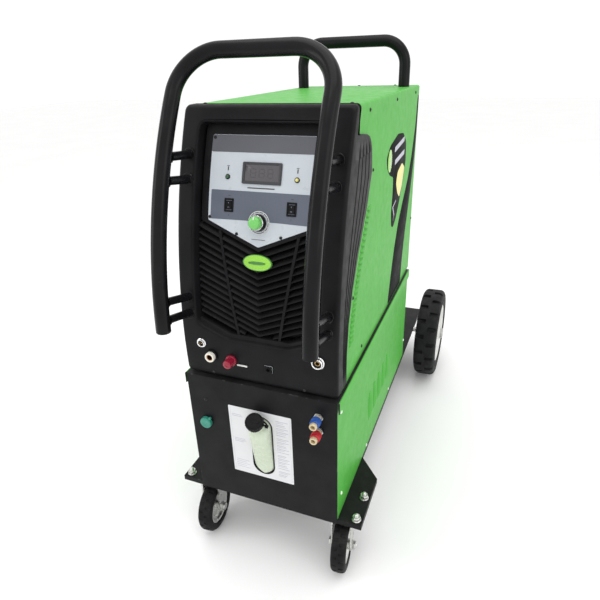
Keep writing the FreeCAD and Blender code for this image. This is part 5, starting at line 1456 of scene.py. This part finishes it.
def make_couplings():
    """Quick couplings: hexagon base, bored pale nose and a ribbed coloured sleeve."""
    noses, bases = [], []
    for colour, z in COUPLING_Z:
        base = outward(COUPLING_X, SHEET_FRONT, z)
        bases.append(hex_nut(18, 4.0, 7.0, base))
        noses.append(lathe([(7.0, 0), (7.0, 29.0), (7.9, 29.4), (7.9, 33.0), (7.2, 34.2), (5.2, 34.5),
            (4.5, 33.6), (4.5, 18.5), (0, 18.5)], base, 40))
        noses.append(lathe([(0, -20), (6.2, -20), (7.2, -18), (7.2, 0.2), (0, 0.2)], base, 32))
        sleeve = [(7.15, 9.5), (9.2, 9.5), (10.0, 10.6), (10.0, 12.0), (9.5, 12.6), (9.5, 13.6),
            (10.4, 14.2), (10.4, 15.8), (9.5, 16.4), (9.5, 17.4), (10.4, 18.0), (10.4, 19.6), (9.5, 20.2),
            (9.5, 21.2), (10.3, 21.8), (10.3, 24.0), (9.2, 26.2), (7.15, 26.5)]
        piece("coupling_ring_" + colour, lathe(sleeve, base, closed=True), colour + "_plastic",
            body="sleeve_body_" + colour, replaces=["coupling_sleeve_" + colour])
    piece("coupling_bases", merge(*bases), "galvanised", "brass", replaces=["coupling_nipples"])
    piece("coupling_noses", merge(*noses), "print_cream", "brass")


def make_drain():
    """Quarter-turn drain knob: knurled rim, domed face and a pointer tab."""
    base = outward(DRAIN_X, SHEET_FRONT - 0.35, DRAIN_Z)
    grip = fluted([(0, 0, 0), (12.2, 0, 0), (13.3, 0.9, 0.3), (13.5, 2.2, 0.8), (13.5, 6.6, 0.8),
        (13.0, 8.2, 0.4), (11.6, 9.0, 0), (8.4, 9.1, 0), (7.6, 8.7, 0), (0, 8.9, 0)], 96, 16)
    tab = moved(plaque(rectangle(-2.9, 2.9, 4, 18.8, 2.6), 6.8, 0.8, 2.4), Matrix.Rotation(-math.radians(40),
        4, "Z"))
    shape = moved(merge(grip, tab), base)
    piece("drain_grip", shape, "teal_plastic", body="drain_body", replaces=["drain_knob"])


# --- sockets
SIGNAL_AT = (-124, 554)
WORK_AT = (128, 557)
SQUARE_AT = (24, 520)
TORCH_AT = (-103, 528)
TERMINAL_AT = (-58, 525)


def socket_frame(x, z):
    return outward(x, front_y(z), z)


def make_sockets():
    """Signal socket, square socket and work socket on the moulded front."""
    base = socket_frame(*SIGNAL_AT)
    chrome = [lathe([(7.6, -14), (7.6, 0), (10.4, 0), (10.5, 1.4), (9.6, 2.6), (8.4, 3.0), (8.2, 4.6),
        (7.6, 5.0), (6.6, 5.0), (6.2, 4.4), (6.2, -14)], base, closed=True)]
    dark = [lathe([(0, 0.4), (6.2, 0.4), (6.2, -12), (0, -12)], base, 32)]
    pins = [lathe([(0.9, 0.3), (0.9, 3.2), (0.5, 3.9), (0, 4.0)], base @ shift(dx, 0, 0), 16)
        for dx in (-2.4, 2.4)]
    work = socket_frame(*WORK_AT)
    chrome.append(lathe([(9.8, -18), (9.8, 0), (13.6, 0), (14, 0.8), (14, 2.6), (13.2, 3.8), (11.6, 4.0),
        (11.2, 7.8), (10.4, 8.8), (9.0, 8.8), (8.4, 8.0), (8.4, -18)], work, closed=True))
    dark.append(lathe([(5.2, 5.6), (8.4, 5.6), (8.4, -14), (5.2, -14)], work, 40, closed=True))
    pins.append(lathe([(0, -9), (5.2, -9), (5.2, 5.2), (4.2, 5.2), (4.2, -8), (0, -8)], work, 32))
    square = socket_frame(*SQUARE_AT)
    middle = Vector((0, 0))
    rim = framed(rectangle(-8, 8, -7.6, 7.6, 1.6), oval(4.6, 4.6, 40), middle, 3.0, 0.5)
    dark.append(moved(rim, square))
    dark.append(lathe([(4.6, 0.5), (4.6, 3.9), (4.1, 4.4), (3.4, 4.0), (3.4, -8), (0, -8)], square, 32))
    edge = framed(rectangle(-8.4, 8.4, -8, 8, 1.8), rectangle(-7.9, 7.9, -7.5, 7.5, 1.6), middle, 1.2, 0.3)
    piece("socket_shells", merge(*chrome), "chrome", replaces=["front_sockets"])
    piece("socket_inserts", merge(*dark), "black_plastic", "chrome")
    piece("socket_pins", merge(*pins), "brass", "chrome")
    piece("socket_square_edge", moved(edge, square), "galvanised", "chrome")


def make_torch_socket():
    base = socket_frame(*TORCH_AT)
    flange = lathe([(9.7, -24), (9.7, 0), (13.2, 0), (13.5, 0.6), (13.5, 3.0), (12.7, 4.0), (10.8, 4.2),
        (10.8, 3.2), (8.4, 3.2), (8.4, -24)], base, closed=True)
    collar = lathe([(7.0, 3.0), (10.3, 3.0), (10.6, 3.8), (10.6, 10.4), (10.0, 11.8), (8.0, 12.0),
        (7.2, 11.2), (7.0, 9.0)], base, closed=True)
    inner = lathe([(5.95, -16), (7.0, -16), (7.0, 9.6), (6.6, 10.3), (6.0, 10.3), (5.95, 9.6)], base, 40,
        closed=True)
    piece("torch_flange", flange, "black_plastic", "brass", replaces=["torch_socket"])
    piece("torch_collar", collar, "print_ivory", "brass")
    piece("torch_bore", inner, "copper", "brass")


def make_terminal():
    """Red insulated binding post and the flat lug of its lead."""
    base = socket_frame(*TERMINAL_AT)
    grip = fluted([(7.6, -20, 0), (7.6, 0, 0), (11.6, 0, 0), (12, 0.8, 0), (12, 4.4, 0), (11.2, 5.6, 0),
        (8.2, 6.0, 0), (8.2, 8.0, 0), (9.3, 8.8, 0.4), (9.5, 10, 0.9), (9.5, 18.4, 0.9), (8.9, 20.4, 0.5),
        (7.2, 21.6, 0), (3.6, 22.2, 0), (3.2, 21.2, 0), (0, 21.2, 0)], 96, 12)
    piece("terminal_grip", moved(grip, base), "terminal_red", "red_plastic", replaces=["red_terminal"])
    lug = plaque(rectangle(12.3, 36, -9.4, -5.2, 1.4), 2.4, 0.5, 0.1)
    piece("terminal_lug", moved(lug, base), "zinc", "red_plastic")


# --- rear fittings
GLAND_AT = (15, 528)
INLET_AT = (-95, 560)
BREAKER_AT = (100, 560)


def rearward(x, z):
    return facing(x, UPPER_BACK - 1.5, z, (0, 1, 0))


def make_gland():
    base = rearward(*GLAND_AT)
    nut = hex_nut(30, 6.0, 9.8, base)
    dome = lathe([(9.8, 5.8), (13.6, 5.8), (13.8, 7.4), (13.2, 8.2), (13.0, 15.6), (11.8, 18.4), (9.4, 19.8),
        (7.6, 19.9), (7.0, 19.0), (7.0, -12), (9.8, -12)], base, closed=True)
    piece("gland_body", merge(nut, dome), "black_plastic", replaces=["cable_gland"])


def make_inlet():
    """Hose tail with three barbs, in a hexagon fitting."""
    base = rearward(*INLET_AT)
    tail = [(3.5, -12), (7.7, -12), (7.7, 0.2), (9.6, 0.2), (9.6, 8.2), (6.0, 8.6), (5.4, 9.6), (5.4, 12),
        (6.6, 12.2), (5.4, 17.4), (5.4, 19), (6.6, 19.2), (5.4, 24.4), (5.4, 26), (6.6, 26.2), (5.2, 31.2),
        (4.4, 32), (3.5, 31.6)]
    inlet = merge(hex_nut(20, 8.0, 6.0, base), lathe(tail, base, 40, closed=True))
    piece("inlet_tail", inlet, "brass", replaces=["air_inlet"])


def make_breaker():
    """Framed breaker and its lever, which turns on a pin inside the case."""
    base = rearward(*BREAKER_AT)
    outer, hole = rectangle(-25.5, 25.5, -37.5, 37.5, 2.0), rectangle(-11, 11, -15, 15, 0.8)
    face = rectangle(-22, 22, -18, 18, 1.6)
    middle = Vector((0, 0))

    def even(outline):
        return [ray_hit(outline, Vector((math.cos(angle), math.sin(angle))), middle) for angle in around(96)]

    rings = stacked(*[(even(outline), z) for outline, z in ((outer, -50), (outer, 3.4),
        (inset(outer, 0.6), 4.0), (face, 4.0), (face, 9.2), (inset(face, 0.8), 10.0),
        (inset(hole, -0.8), 10.0), (hole, 9.2), (hole, -13.5))])
    shape = moved(loft(rings, True), base)
    piece("breaker_case", shape, "motor_paint", "black_plastic", replaces=["breaker"])
    pivot = (BREAKER_AT[0], UPPER_BACK - 6.5, BREAKER_AT[1])
    tilt = facing(*pivot, (0, math.cos(math.radians(18)), math.sin(math.radians(18))), (0, -0.31, 0.95))
    barrel = lathe([(0, -10), (6.4, -10), (7, -9.4), (7, 9.4), (6.4, 10), (0, 10)], across_x(*pivot), 32)
    pin = lathe([(0, -12.3), (1.95, -12.3), (1.95, 12.3), (0, 12.3)], across_x(*pivot), 20)
    tapers = ((0, 1.0), (8, 1.0), (14, 0.86), (19, 0.8), (22, 0.95), (25.6, 0.95), (26.8, 0.7))
    paddle = loft([[(x, y * taper, z) for x, y in rectangle(-9, 9, -3, 3, 1.2)] for z, taper in tapers],
        True)
    piece("breaker_handle", merge(barrel, pin, moved(paddle, tilt)), "black_plastic", body="breaker_body",
        replaces=["breaker_lever"])


for make in (make_front, make_panel, make_display, make_lamps, make_rockers, make_knob, make_badge,
        make_rear_wheels, make_castors, make_fasteners, make_handles, make_lid, make_case_details,
        make_screws, make_label, make_bottle, make_cap, make_couplings, make_drain, make_sockets,
        make_torch_socket, make_terminal, make_gland, make_inlet, make_breaker):
    make()
paint_frame()
make_camera()
make_stage()
